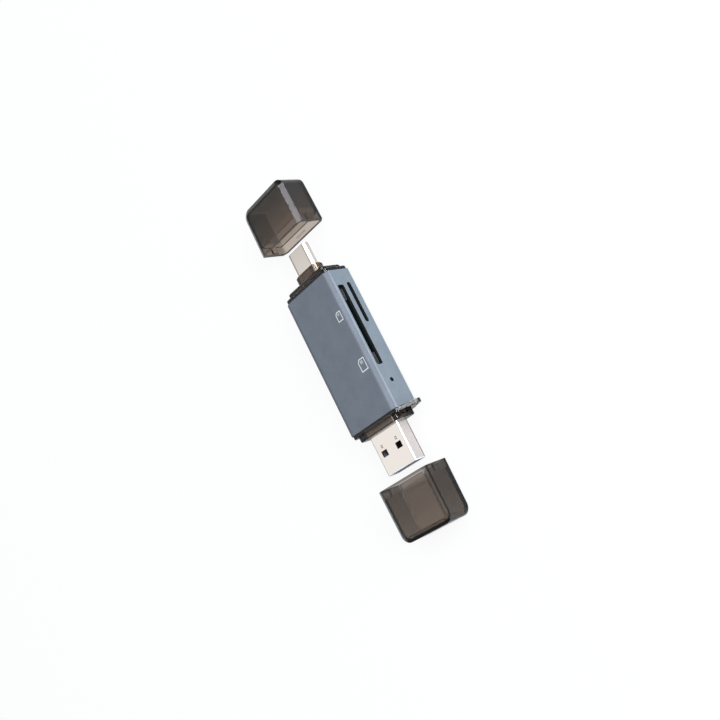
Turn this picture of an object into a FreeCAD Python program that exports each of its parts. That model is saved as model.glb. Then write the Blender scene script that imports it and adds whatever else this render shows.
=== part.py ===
"""Card reader with a plug at each end, two card slots in one long side and two pull-off plug caps."""
import FreeCAD, Part
import math
import os
import Sketcher

os.makedirs("parts", exist_ok=True)
doc = FreeCAD.newDocument("card_reader")

# Sizes in millimetres. X runs along the sleeve towards the small oval plug, -Y is the side with
# the slots and +Z the printed broad face. Places are measured from the middle of the sleeve.
SIZES = {
    # sleeve
    "sleeve_length": 43.3,
    "sleeve_width": 20.4,
    "sleeve_thickness": 10.0,
    "edge_bevel_in": 1.49,
    "edge_bevel_down": 0.94,
    "edge_bevel_face_round": 1.4,
    "edge_bevel_side_round": 0.5,
    "sleeve_wall": 0.9,
    "sleeve_end_break": 0.12,
    "sleeve_half_length": "=sleeve_length / 2",
    "sleeve_half_width": "=sleeve_width / 2",
    "sleeve_half_thickness": "=sleeve_thickness / 2",
    "bore_width": "=sleeve_width - 2 * sleeve_wall",
    "bore_thickness": "=sleeve_thickness - 2 * sleeve_wall",
    "bore_radius": "=max(edge_bevel_in - sleeve_wall; 0.2)",
    # cards and the slots that take them
    "wide_card_width": 24.0,
    "wide_card_thickness": 2.1,
    "wide_slot_side_room": 0.675,
    "wide_slot_face_room": 0.185,
    "wide_slot_x": "=plug_c_back - wide_socket_end_room - wide_cover_width / 2",
    "wide_slot_z": 2.19,
    "wide_slot_corner": 0.6,
    "wide_slot_length": "=wide_card_width + 2 * wide_slot_side_room",
    "wide_slot_height": "=wide_card_thickness + 2 * wide_slot_face_room",
    "small_card_width": 11.0,
    "small_card_thickness": 0.9,
    "small_slot_side_room": 0.825,
    "small_slot_face_room": 0.15,
    "small_slot_x": "=plug_c_back - small_socket_end_room - small_cover_width / 2",
    "small_slot_z": -1.28,
    "small_slot_length": "=small_card_width + 2 * small_slot_side_room",
    "small_slot_height": "=small_card_thickness + 2 * small_slot_face_room",
    "slot_cut_depth": "=sleeve_wall + 0.2",
    # status light
    "light_from_bay": 0.05,
    "light_x": "=upper_bay_x + light_from_bay",
    "light_z": 0.83,
    "light_hole": 0.9,
    "light_guide_room": 0.04,
    "light_guide_recess": 0.1,
    "light_guide_flange": 1.7,
    "light_flange_room": 0.05,
    "light_guide": "=light_hole - 2 * light_guide_room",
    "light_guide_front": "=sleeve_half_width - light_guide_recess",
    # end pieces
    "spigot_length": 2.9,
    "spigot_room": 0.04,
    "spigot_wall": 0.9,
    "spigot_floor": 0.9,
    "spigot_width": "=bore_width - 2 * spigot_room",
    "spigot_thickness": "=bore_thickness - 2 * spigot_room",
    "spigot_radius": "=max(bore_radius - spigot_room; 0.1)",
    "spigot_hollow_width": "=spigot_width - 2 * spigot_wall",
    "spigot_hollow_thickness": "=spigot_thickness - 2 * spigot_wall",
    "spigot_hollow_depth": "=spigot_length - spigot_floor",
    "flange_inset_side": 0.4,
    "flange_inset_face": 0.35,
    "flange_width": "=sleeve_width - 2 * flange_inset_side",
    "flange_thickness": "=sleeve_thickness - 2 * flange_inset_face",
    "flange_radius": "=edge_bevel_in - 0.5 * flange_inset_face",
    "flange_edge_break": 0.15,
    "shoulder_width": 16.7,
    "shoulder_thickness": 8.0,
    "shoulder_radius": 1.0,
    "shoulder_edge_break": 0.25,
    "flange_depth_c": 1.2,
    "shoulder_depth_c": 1.35,
    "collar_width": 10.3,
    "collar_thickness": 4.7,
    "collar_depth": 3.15,
    "collar_edge_break": 0.38,
    "flange_depth_a": 1.15,
    "shoulder_depth_a": 1.6,
    "key_width": 4.0,
    "key_depth": 0.4,
    "key_height": 0.2,
    "key_groove_depth": 0.2,
    "key_room": 0.15,
    "key_setback": 1.0,
    "key_groove_width": "=key_width + 2 * key_room",
    # lanyard ear on the flange at the wide plug
    "ear_y": -12.2,
    "ear_z": -1.3,
    "ear_radius": 1.6,
    "ear_hole": 1.5,
    "ear_root_inset": 0.55,
    "ear_reach": "=ear_radius - ear_y",
    "ear_root_y": "=-(flange_width / 2 - ear_root_inset)",
    "ear_top_drop": 0.25,
    "ear_foot_rise": 0.05,
    "ear_root_z": "=flange_thickness / 2 - ear_top_drop",
    "ear_low_root_y": "=-(flange_width / 2 - flange_radius - ear_root_inset)",
    "ear_low_root_z": "=-(flange_thickness / 2 - ear_foot_rise)",
    # wide plug, twelve by four and a half
    "plug_a_width": 12.0,
    "plug_a_thickness": 4.5,
    "plug_a_radius": 0.55,
    "plug_a_wall": 0.3,
    "plug_a_reach": 11.9,
    "plug_a_tail": 3.75,
    "plug_a_tip_break": 0.12,
    "plug_a_room": 0.02,
    "window_length": 1.85,
    "window_width": 2.25,
    "window_spacing": 6.1,
    "window_from_tip": 6.1,
    "shoulder_end_a": "=sleeve_half_length + flange_depth_a + shoulder_depth_a",
    "plug_a_tip": "=shoulder_end_a + plug_a_reach",
    "plug_a_back": "=sleeve_half_length - plug_a_tail",
    "plug_a_length": "=plug_a_tip - plug_a_back",
    "window_x": "=plug_a_tip - window_from_tip",
    "window_half_spacing": "=window_spacing / 2",
    "plug_a_half": "=plug_a_thickness / 2",
    "plug_a_inner_width": "=plug_a_width - 2 * plug_a_wall",
    "plug_a_inner_thickness": "=plug_a_thickness - 2 * plug_a_wall",
    "plug_a_inner_radius": "=max(plug_a_radius - plug_a_wall; 0.1)",
    "plug_a_hole_width": "=plug_a_width + 2 * plug_a_room",
    "plug_a_hole_thickness": "=plug_a_thickness + 2 * plug_a_room",
    "tongue_room": 0.08,
    "tongue_thickness": 1.85,
    "tongue_setback": 0.25,
    "tongue_nose": 0.3,
    "tongue_block_length": 7.0,
    "tongue_width": "=plug_a_inner_width - 2 * tongue_room",
    "tongue_low": "=-(plug_a_inner_thickness / 2 - tongue_room)",
    "tongue_middle": "=tongue_low + tongue_thickness / 2",
    "tongue_top": "=tongue_low + tongue_thickness",
    "tongue_front": "=plug_a_tip - tongue_setback",
    "tongue_length": "=tongue_front - plug_a_back - tongue_room",
    "tongue_block_front": "=plug_a_back + tongue_room + tongue_block_length",
    "tongue_block_thickness": "=plug_a_inner_thickness - 2 * tongue_room",
    "strip_gauge": 0.1,
    "strip_width": 1.0,
    "strip_inner_y": 1.0,
    "strip_outer_y": 3.5,
    "strip_length": 7.6,
    "strip_setback": 0.5,
    "strip_x": "=tongue_front - strip_setback - strip_length / 2",
    "bump_width": 0.8,
    "bump_length": 1.5,
    "bump_height": 0.5,
    "bump_pitch": 2.0,
    "bump_count": 5,
    "bump_x": "=tongue_block_front + bump_length / 2",
    "bump_half_length": "=bump_length / 2",
    "bump_top": "=tongue_top + bump_height",
    "bump_start": "=bump_span / 2 - bump_width / 2",
    "bump_span": "=bump_pitch * (bump_count - 1)",
    "shell_tab_length": 1.9,
    "shell_tab_height": 2.2,
    "shell_tab_room": 0.15,
    # small oval plug
    "plug_c_width": 8.34,
    "plug_c_thickness": 2.56,
    "plug_c_wall": 0.2,
    "plug_c_reach": 7.35,
    "plug_c_tail": 3.75,
    "plug_c_tip_break": 0.14,
    "plug_c_room": 0.02,
    "collar_end": "=sleeve_half_length + flange_depth_c + shoulder_depth_c + collar_depth",
    "plug_c_tip": "=collar_end + plug_c_reach",
    "plug_c_back": "=sleeve_half_length - plug_c_tail",
    "plug_c_length": "=plug_c_tip - plug_c_back",
    "plug_c_inner_width": "=plug_c_width - 2 * plug_c_wall",
    "plug_c_inner_thickness": "=plug_c_thickness - 2 * plug_c_wall",
    "plug_c_hole_width": "=plug_c_width + 2 * plug_c_room",
    "plug_c_hole_thickness": "=plug_c_thickness + 2 * plug_c_room",
    "insulator_room": 0.02,
    "insulator_setback": 0.12,
    "insulator_width": "=plug_c_inner_width - 2 * insulator_room",
    "insulator_thickness": "=plug_c_inner_thickness - 2 * insulator_room",
    "insulator_front": "=plug_c_tip - insulator_setback",
    "insulator_length": "=insulator_front - plug_c_back",
    "port_width": 6.7,
    "port_height": 0.95,
    "port_depth": 6.0,
    "port_radius": 0.3,
    "port_half_height": "=port_height / 2",
    "finger_width": 0.25,
    "finger_pitch": 0.5,
    "finger_count": 12,
    "finger_gauge": 0.12,
    "finger_length": 4.4,
    "finger_setback": 0.8,
    "finger_x": "=insulator_front - finger_setback - finger_length / 2",
    "finger_span": "=finger_pitch * (finger_count - 1)",
    "finger_first_y": "=-finger_span / 2",
    "finger_upper_z": "=port_half_height - finger_gauge",
    "latch_gauge": 0.15,
    "latch_height": 0.5,
    "latch_length": 4.6,
    "latch_room": 0.03,
    "latch_width": "=port_width - 2 * latch_room",
    "latch_inner_width": "=latch_width - 2 * latch_gauge",
    "latch_back": "=insulator_front - port_depth + latch_room",
    "latch_x": "=latch_back + latch_length / 2",
    "latch_hollow_x": "=latch_x + latch_gauge",
    "latch_low": "=-latch_height / 2",
    # circuit board
    "board_end_room": 1.05,
    "board_length": "=2 * (spigot_start_c - board_end_room)",
    "board_side_room": 0.4,
    "board_width": "=bore_width - 2 * board_side_room",
    "board_thickness": 0.8,
    "board_corner": 0.5,
    "board_top": "=board_thickness / 2",
    "board_notch_width": "=plug_a_wall + 2 * shell_tab_room",
    "board_notch_y": "=plug_a_width / 2 - plug_a_wall / 2",
    "shell_tab_x": "=-(plug_a_back - shell_tab_length / 2)",
    "board_notch_x": "=-(plug_a_back - shell_tab_length / 2 - shell_tab_room)",
    "shell_tab_low": "=-shell_tab_height / 2",
    # card sockets
    "wide_socket_end_room": 0.24,
    "small_socket_end_room": 0.39,
    "socket_front_room": 0.25,
    "socket_front": "=sleeve_half_width - sleeve_wall - socket_front_room",
    "card_side_room": 0.2,
    "card_face_room": 0.1,
    "wide_frame_wall": 1.2,
    "wide_card_depth": 16.2,
    "wide_rear_wall": 1.1,
    "wide_pocket_width": "=wide_card_width + 2 * card_side_room",
    "wide_pocket_height": "=wide_card_thickness + 2 * card_face_room",
    "wide_frame_width": "=wide_pocket_width + 2 * wide_frame_wall",
    "wide_frame_top": "=wide_slot_z + wide_pocket_height / 2",
    "wide_frame_height": "=wide_frame_top - board_top",
    "wide_pocket_floor": "=wide_slot_z - wide_pocket_height / 2",
    "wide_frame_depth": "=wide_card_depth + wide_rear_wall",
    "wide_frame_y": "=wide_frame_depth / 2 - socket_front",
    "wide_pocket_y": "=wide_card_depth / 2 - socket_front",
    "cover_gauge": 0.2,
    "cover_skirt": 1.4,
    "cover_room": 0.03,
    "wide_cover_width": "=wide_frame_width + 2 * (cover_gauge + cover_room)",
    "wide_cover_inner": "=wide_frame_width + 2 * cover_room",
    "wide_cover_end": "=wide_slot_x - wide_cover_width / 2",
    "upper_bay_x": "=(wide_cover_end - plug_a_back) / 2",
    "wide_skirt_low": "=wide_frame_top - cover_skirt",
    "wide_cover_height": "=cover_skirt + cover_gauge",
    "cover_lip_length": 3.4,
    "cover_lip_height": 0.32,
    "cover_lip_left_x": "=wide_slot_x - wide_slot_length / 2 + cover_lip_length / 2 + 0.05",
    "cover_lip_right_x": "=wide_slot_x + wide_slot_length / 2 - cover_lip_length / 2 - 0.05",
    "cover_lip_low": "=wide_frame_top - cover_lip_height",
    "cover_lip_rise": "=cover_lip_height + cover_gauge",
    "cover_lip_y": "=-(socket_front + cover_gauge / 2)",
    "wide_contact_pitch": 2.5,
    "wide_contact_count": 9,
    "wide_contact_width": 0.9,
    "wide_contact_gauge": 0.15,
    "wide_contact_blade": 4.6,
    "wide_contact_tail": 0.9,
    "wide_contact_span": "=wide_contact_pitch * (wide_contact_count - 1)",
    "wide_contact_first_x": "=wide_slot_x - wide_contact_span / 2 - wide_contact_width / 2",
    "wide_contact_rise": "=wide_pocket_floor - board_top",
    "wide_contact_end": "=wide_frame_depth - socket_front + wide_contact_tail - 0.3",
    "wide_contact_reach": "=wide_contact_blade + wide_rear_wall - 0.3",
    "wide_rear_face": "=wide_frame_depth - socket_front",
    "wide_gate_width": "=wide_contact_span + wide_contact_width + 0.6",
    "wide_gate_depth": 0.6,
    "wide_gate_y": "=wide_frame_depth - socket_front - wide_gate_depth / 2",
    "wide_gate_top": "=wide_pocket_floor + wide_contact_gauge + 0.15",
    "wide_gate_height": "=wide_gate_top - board_top",
    "wide_slit_height": "=wide_contact_gauge + 0.1",
    "wide_slit_z": "=wide_pocket_floor + wide_slit_height / 2",
    "guide_length": 3.7,
    "guide_width": 0.67,
    "guide_band": 0.185,
    "guide_gauge": 0.08,
    "guide_side_room": 0.08,
    "guide_front_room": 0.03,
    "guide_hole_length": "=guide_length - 2 * guide_band",
    "guide_hole_width": "=guide_width - 2 * guide_band",
    "guide_from_middle": "=wide_pocket_width / 2 - guide_side_room - guide_length / 2",
    "guide_left_x": "=wide_slot_x - guide_from_middle",
    "guide_right_x": "=wide_slot_x + guide_from_middle",
    "guide_y": "=-(socket_front - guide_front_room - guide_width / 2)",
    "small_frame_wall": 0.9,
    "small_card_depth": 13.2,
    "small_rear_wall": 1.0,
    "small_pocket_width": "=small_card_width + 2 * 0.15",
    "small_pocket_height": "=small_card_thickness + card_face_room",
    "small_frame_width": "=small_pocket_width + 2 * small_frame_wall",
    "small_frame_low": "=small_slot_z - small_pocket_height / 2",
    "small_frame_height": "=-small_frame_low - board_top",
    "small_frame_depth": "=small_card_depth + small_rear_wall",
    "small_frame_y": "=small_frame_depth / 2 - socket_front",
    "small_pocket_y": "=small_card_depth / 2 - socket_front",
    "small_pocket_roof": "=small_slot_z + small_pocket_height / 2",
    "small_cover_gauge": 0.15,
    "small_cover_skirt": 1.0,
    "small_cover_low": "=small_frame_low - small_cover_gauge",
    "small_cover_height": "=small_cover_skirt + small_cover_gauge",
    "small_cover_inner": "=small_frame_width + 2 * cover_room",
    "small_cover_width": "=small_cover_inner + 2 * small_cover_gauge",
    "small_cover_end": "=small_slot_x - small_cover_width / 2",
    "lower_bay_x": "=(small_cover_end - plug_a_back) / 2",
    "small_contact_pitch": 1.1,
    "small_contact_count": 8,
    "small_contact_width": 0.7,
    "small_contact_gauge": 0.12,
    "small_contact_length": 4.0,
    "small_contact_from_rear": 0.4,
    "small_contact_span": "=small_contact_pitch * (small_contact_count - 1)",
    "small_contact_first_x": "=small_slot_x - small_contact_span / 2",
    "small_contact_y": "=small_card_depth - socket_front - small_contact_from_rear - small_contact_length / 2",
    "small_contact_low": "=small_pocket_roof - small_contact_gauge",
    # carrier below the board
    "carrier_room": 0.05,
    "carrier_floor": 0.7,
    "carrier_corner_break": "=bore_radius",
    "carrier_end_room": 0.45,
    "carrier_length": "=2 * (spigot_start_c - carrier_end_room)",
    "carrier_width": "=bore_width - 2 * carrier_room",
    "carrier_low": "=-(bore_thickness / 2 - carrier_room)",
    "carrier_floor_top": "=carrier_low + carrier_floor",
    "carrier_rise": "=-board_top - carrier_floor_top",
    "rim_wall": 0.75,
    "rim_y": "=carrier_width / 2 - rim_wall / 2",
    "rim_socket_room": 1.95,
    "rim_front_length": "=carrier_length / 2 + small_cover_end - rim_socket_room",
    "rim_front_x": "=-(carrier_length - rim_front_length) / 2",
    "post_diameter": 2.2,
    "pin_diameter": 1.0,
    "pin_room": 0.06,
    "pin_height": "=board_thickness - 0.05",
    "pin_hole": "=pin_diameter + 2 * pin_room",
    "post_1_inset": 2.5,
    "post_2_inset": 5.3,
    "post_3_inset": 1.8,
    "post_4_room": 2.55,
    "rear_post_inset": 1.7,
    "front_post_inset": 1.95,
    "post_1_x": "=-(board_length / 2 - post_1_inset)",
    "post_1_y": "=board_width / 2 - rear_post_inset",
    "post_2_x": "=-(board_length / 2 - post_2_inset)",
    "post_2_y": "=-(board_width / 2 - front_post_inset)",
    "post_3_x": "=board_length / 2 - post_3_inset",
    "post_3_y": "=board_width / 2 - rear_post_inset",
    "post_4_x": "=small_cover_end - post_4_room",
    "post_4_y": "=-(board_width / 2 - front_post_inset)",
    # parts on the board
    "chip_size": 6.0,
    "chip_height": 0.85,
    "chip_from_bay": 0.325,
    "chip_x": "=lower_bay_x + chip_from_bay",
    "chip_y": 1.2,
    "chip_stand": 0.05,
    "chip_z": "=-(board_top + chip_stand + chip_height)",
    "pad_width": 0.25,
    "pad_length": 0.4,
    "pad_height": 0.22,
    "pad_pitch": 0.5,
    "pad_count": 10,
    "pad_span": "=pad_pitch * (pad_count - 1)",
    "pad_x": "=chip_size / 2 + pad_length / 2",
    "pad_first_y": "=-pad_span / 2",
    "pad_low": "=-(board_top + pad_height)",
    "crystal_length": 3.2,
    "crystal_width": 2.5,
    "crystal_height": 0.75,
    "crystal_from_chip": 6.7,
    "crystal_x": "=chip_x - crystal_from_chip",
    "crystal_y": 0.9,
    "crystal_corner": 0.35,
    "crystal_low": "=-(board_top + crystal_height)",
    "regulator_length": 2.9,
    "regulator_width": 1.6,
    "regulator_height": 1.0,
    "regulator_stand": 0.08,
    "regulator_from_bay": 0.35,
    "regulator_x": "=upper_bay_x + regulator_from_bay",
    "regulator_y": 3.2,
    "regulator_low": "=board_top + regulator_stand",
    "lead_width": 0.4,
    "lead_length": 0.6,
    "lead_gauge": 0.18,
    "lead_pitch": 0.95,
    "lead_first_x": "=regulator_x - lead_pitch",
    "lead_front_y": "=regulator_y - regulator_width / 2 - lead_length / 2",
    "lead_back_y": "=regulator_y + regulator_width / 2 + lead_length / 2",
    "lead_span": "=2 * lead_pitch",
    "capacitor_length": 1.6,
    "capacitor_width": 0.8,
    "capacitor_height": 0.8,
    "resistor_length": 1.0,
    "resistor_width": 0.5,
    "resistor_height": 0.35,
    "crystal_edge_break": 0.08,
    "capacitor_below": "=-(board_top + capacitor_height)",
    "resistor_below": "=-(board_top + resistor_height)",
    "top_row_from_bay": 0.55,
    "top_row_x": "=upper_bay_x + top_row_from_bay",
    "under_row_from_chip": 7.2,
    "under_row_x": "=chip_x + under_row_from_chip",
    "resistor_half_pitch": 1.2,
    "capacitor_1_x": "=top_row_x",
    "capacitor_1_y": 0.6,
    "capacitor_1_side": 1,
    "capacitor_2_x": "=top_row_x",
    "capacitor_2_y": -1.0,
    "capacitor_2_side": 1,
    "capacitor_3_x": "=top_row_x",
    "capacitor_3_y": -2.6,
    "capacitor_3_side": 1,
    "capacitor_4_x": "=chip_x",
    "capacitor_4_y": 6.1,
    "capacitor_4_side": -1,
    "capacitor_5_x": "=chip_x",
    "capacitor_5_y": -3.6,
    "capacitor_5_side": -1,
    "capacitor_6_x": "=under_row_x",
    "capacitor_6_y": 4.2,
    "capacitor_6_side": -1,
    "resistor_1_x": "=upper_bay_x + resistor_half_pitch",
    "resistor_1_y": -5.0,
    "resistor_1_side": 1,
    "resistor_2_x": "=upper_bay_x - resistor_half_pitch",
    "resistor_2_y": -5.0,
    "resistor_2_side": 1,
    "resistor_3_x": "=under_row_x",
    "resistor_3_y": 1.8,
    "resistor_3_side": -1,
    "resistor_4_x": "=under_row_x",
    "resistor_4_y": -0.4,
    "resistor_4_side": -1,
    "lead_front_count": 3,
    "lead_back_count": 2,
    "led_length": 1.6,
    "led_depth": 0.9,
    "led_height": "=2 * (light_z - board_top)",
    "led_front": "=board_width / 2 - 0.35",
    "led_y": "=-(led_front - led_depth / 2)",
    "light_guide_back": "=led_front + 0.04",
    "light_guide_length": "=light_guide_front - light_guide_back",
    "light_flange_back": "=board_width / 2 + light_flange_room",
    "light_flange_depth": "=bore_width / 2 - light_flange_room - light_flange_back",
    # caps
    "cap_width": "=sleeve_width",
    "cap_thickness": "=sleeve_thickness",
    "cap_corner_radius": 2.8,
    "cap_draft": 1.2,
    "cap_seat_gap": 0.1,
    "cap_rim_wall_side": 1.1,
    "cap_fit_room": 0.08,
    "cap_rim_depth": 2.4,
    "cap_wall": 1.5,
    "cap_end_wall": 1.35,
    "cap_inner_corner": 1.6,
    "cap_inner_break": 0.45,
    "cap_rim_corner": 0.7,
    "cap_length_c": 15.1,
    "cap_length_a": 16.2,
    "cap_travel_c": 15.55,
    "cap_travel_a": 16.1,
    "cap_half_thickness": "=cap_thickness / 2",
    "cap_rim_width": "=cap_width - 2 * cap_rim_wall_side",
    "cap_rim_height": "=shoulder_thickness + 2 * cap_fit_room",
    "cap_hollow_width": "=cap_width - 2 * cap_wall",
    "cap_hollow_height": "=cap_thickness - 2 * cap_wall",
    "cap_rib_room": 0.1,
    "cap_rib_height": 2.0,
    "cap_rib_half": "=shoulder_width / 2 + cap_rib_room",
    "cap_rib_width": "=cap_rim_width / 2 + 0.2 - cap_rib_half",
    "cap_rib_y": "=cap_rib_half + cap_rib_width / 2",
    "cap_rib_depth": "=cap_rim_depth - 0.2",
    "cap_mouth_c": "=sleeve_half_length + flange_depth_c + cap_seat_gap + cap_travel_c",
    "cap_mouth_a": "=sleeve_half_length + flange_depth_a + cap_seat_gap + cap_travel_a",
    "cap_outer_c": "=cap_mouth_c + cap_length_c",
    "cap_outer_a": "=cap_mouth_a + cap_length_a",
    "cap_hollow_depth_c": "=cap_length_c - cap_end_wall",
    "cap_hollow_depth_a": "=cap_length_a - cap_end_wall",
    "cap_end_width_c": "=cap_width - 2 * cap_length_c * tan(cap_draft)",
    "cap_end_width_a": "=cap_width - 2 * cap_length_a * tan(cap_draft)",
    "key_z": "=-cap_rim_height / 2",
    "key_rise": "=key_height + 0.2",
    "key_low": "=-cap_rim_height / 2 - 0.2",
    "key_groove_low": "=-(shoulder_thickness / 2 - key_groove_depth / 2)",
    "key_x_c": "=cap_mouth_c + key_setback + key_depth / 2",
    "key_x_a": "=cap_mouth_a + key_setback + key_depth / 2",
    # starts and cuts worked out from the sizes above
    "spigot_start_c": "=sleeve_half_length - spigot_length",
    "shoulder_start_c": "=sleeve_half_length + flange_depth_c",
    "collar_start": "=sleeve_half_length + flange_depth_c + shoulder_depth_c",
    "flange_start_a": "=-(sleeve_half_length + flange_depth_a)",
    "end_piece_length_c": "=collar_end - sleeve_half_length + spigot_length",
    "end_piece_length_a": "=shoulder_end_a - sleeve_half_length + spigot_length",
    "wide_pocket_cut_length": "=wide_card_depth + 1",
    "wide_pocket_cut_y": "=wide_pocket_y - 0.5",
    "wide_cover_cut_length": "=wide_frame_depth + 1",
    "small_pocket_cut_length": "=small_card_depth + 1",
    "small_pocket_cut_y": "=small_pocket_y - 0.5",
    "small_cover_cut_length": "=small_frame_depth + 1",
    "board_notch_length": "=shell_tab_length + 2 * shell_tab_room",
    "cap_step_c": "=cap_mouth_c + cap_rim_depth",
    "cap_step_a": "=cap_mouth_a + cap_rim_depth",
    # origin below the middle of the whole set, caps off
    "frame_x": "=(cap_outer_a - cap_outer_c) / 2",
    "frame_y": "=(ear_reach - sleeve_half_width) / 2",
    "frame_z": "=sleeve_half_thickness",
}

sheet = doc.addObject("Spreadsheet::Sheet", "Sizes")
for row, (size_name, size_value) in enumerate(SIZES.items(), start=1):
    sheet.set(f"A{row}", size_name.replace("_", " "))
    sheet.set(f"B{row}", str(size_value))
    sheet.setAlias(f"B{row}", size_name)
doc.recompute()


def formula(name):
    """Expression text for a size name, which may start with a minus sign."""
    return "-Sizes." + name[1:] if name.startswith("-") else "Sizes." + name


def size(name):
    """Present number of a size name, which may start with a minus sign."""
    if name is None:
        return 0.0
    return -float(sheet.get(name[1:])) if name.startswith("-") else float(sheet.get(name))


def make_body(label):
    """New body whose placement carries the origin below the middle of the set."""
    body = doc.addObject("PartDesign::Body", label)
    body.Label = label
    body.AllowCompound = True
    for axis in "xyz":
        body.setExpression(f".Placement.Base.{axis}", formula(f"frame_{axis}"))
    return body


def origin_feature(body, role):
    """Origin plane or axis of the body, such as YZ_Plane."""
    return next(item for item in body.Origin.OriginFeatures if item.Role == role)


def make_sketch(body, name, plane, offset=None):
    """Sketch on one of the body's own origin planes, moved along the plane's normal by a size."""
    sketch = body.newObject("Sketcher::SketchObject", name)
    sketch.AttachmentSupport = [(origin_feature(body, plane), "")]
    sketch.MapMode = "FlatFace"
    if offset:
        sketch.setExpression(".AttachmentOffset.Base.z", formula(offset))
    return sketch


def drive(sketch, kind, *items):
    """Add a dimension whose last item is a size name, and bind it to that size."""
    index = sketch.addConstraint(Sketcher.Constraint(kind, *items[:-1], size(items[-1])))
    sketch.setExpression(f"Constraints[{index}]", formula(items[-1]))


def add_centre(sketch, across, up):
    """Construction point at the place given by two size names; None leaves it on the axis."""
    point = sketch.addGeometry(Part.Point(FreeCAD.Vector(size(across), size(up), 0)), True)
    if across:
        drive(sketch, "DistanceX", -1, 1, point, 1, across)
    else:
        sketch.addConstraint(Sketcher.Constraint("PointOnObject", point, 1, -2))
    if up:
        drive(sketch, "DistanceY", -1, 1, point, 1, up)
    else:
        sketch.addConstraint(Sketcher.Constraint("PointOnObject", point, 1, -1))
    return point


def add_rectangle(sketch, width, height, across=None, up=None):
    """Rectangle centred on (across, up), all four given by size names."""
    point = add_centre(sketch, across, up)
    x, y = size(across), size(up)
    a, b = size(width) / 2, size(height) / 2
    corners = [(x - a, y - b), (x + a, y - b), (x + a, y + b), (x - a, y + b)]
    lines = []
    for start, end in zip(corners, corners[1:] + corners[:1]):
        lines.append(sketch.addGeometry(Part.LineSegment(FreeCAD.Vector(*start), FreeCAD.Vector(*end))))
    for line, following in zip(lines, lines[1:] + lines[:1]):
        sketch.addConstraint(Sketcher.Constraint("Coincident", line, 2, following, 1))
    for line, kind in zip(lines, ("Horizontal", "Vertical", "Horizontal", "Vertical")):
        sketch.addConstraint(Sketcher.Constraint(kind, line))
    sketch.addConstraint(Sketcher.Constraint("Symmetric", lines[0], 1, lines[2], 1, point, 1))
    drive(sketch, "DistanceX", lines[0], 1, lines[0], 2, width)
    drive(sketch, "DistanceY", lines[1], 1, lines[1], 2, height)


def add_bevelled_rectangle(sketch, width, height, inward, down):
    """Rectangle centred on the origin, each corner cut off by inward across and down in height."""
    a, b = size(width) / 2, size(height) / 2
    c, d = size(inward), size(down)
    corners = [(-a + c, -b), (a - c, -b), (a, -b + d), (a, b - d), (a - c, b), (-a + c, b), (-a, b - d), (-a, -b + d)]
    lines = []
    for start, end in zip(corners, corners[1:] + corners[:1]):
        lines.append(sketch.addGeometry(Part.LineSegment(FreeCAD.Vector(*start), FreeCAD.Vector(*end))))
    for line, following in zip(lines, lines[1:] + lines[:1]):
        sketch.addConstraint(Sketcher.Constraint("Coincident", line, 2, following, 1))
    sketch.addConstraint(Sketcher.Constraint("Horizontal", lines[0]))
    for line in (lines[2], lines[6]):
        sketch.addConstraint(Sketcher.Constraint("Vertical", line))
    sketch.addConstraint(Sketcher.Constraint("Symmetric", lines[0], 1, lines[4], 1, -1, 1))
    sketch.addConstraint(Sketcher.Constraint("Symmetric", lines[0], 2, lines[4], 2, -1, 1))
    sketch.addConstraint(Sketcher.Constraint("Symmetric", lines[2], 1, lines[6], 1, -1, 1))
    drive(sketch, "DistanceX", lines[0], 2, lines[2], 1, inward)
    drive(sketch, "DistanceY", lines[0], 2, lines[2], 1, down)
    drive(sketch, "DistanceY", lines[2], 2, lines[3], 2, down)
    drive(sketch, "DistanceX", lines[7], 1, lines[7], 2, inward)
    drive(sketch, "DistanceY", lines[7], 2, lines[7], 1, down)
    drive(sketch, "DistanceX", lines[6], 1, lines[2], 1, width)
    drive(sketch, "DistanceY", lines[0], 1, lines[4], 2, height)


def add_rounded_rectangle(sketch, width, height, radius, across=None, up=None):
    """Rectangle with four equal round corners, centred on (across, up)."""
    point = add_centre(sketch, across, up)
    x, y, r = size(across), size(up), size(radius)
    a, b = size(width) / 2, size(height) / 2
    sides = [((x - a + r, y - b), (x + a - r, y - b)), ((x + a, y - b + r), (x + a, y + b - r)),
             ((x + a - r, y + b), (x - a + r, y + b)), ((x - a, y + b - r), (x - a, y - b + r))]
    middles = [(x + a - r, y - b + r), (x + a - r, y + b - r), (x - a + r, y + b - r), (x - a + r, y - b + r)]
    turn = 1.5707963267948966
    lines, arcs = [], []
    for step, ((start, end), middle) in enumerate(zip(sides, middles)):
        lines.append(sketch.addGeometry(Part.LineSegment(FreeCAD.Vector(*start), FreeCAD.Vector(*end))))
        circle = Part.Circle(FreeCAD.Vector(*middle), FreeCAD.Vector(0, 0, 1), r)
        arcs.append(sketch.addGeometry(Part.ArcOfCircle(circle, turn * (step - 1), turn * step)))
    for step in range(4):
        sketch.addConstraint(Sketcher.Constraint("Tangent", lines[step], 2, arcs[step], 1))
        sketch.addConstraint(Sketcher.Constraint("Tangent", arcs[step], 2, lines[(step + 1) % 4], 1))
        sketch.addConstraint(Sketcher.Constraint("Horizontal" if step % 2 == 0 else "Vertical", lines[step]))
    for arc in arcs[1:]:
        sketch.addConstraint(Sketcher.Constraint("Equal", arcs[0], arc))
    sketch.addConstraint(Sketcher.Constraint("Symmetric", arcs[0], 3, arcs[2], 3, point, 1))
    drive(sketch, "Radius", arcs[0], radius)
    drive(sketch, "DistanceX", lines[3], 1, lines[1], 1, width)
    drive(sketch, "DistanceY", lines[0], 1, lines[2], 1, height)


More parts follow.
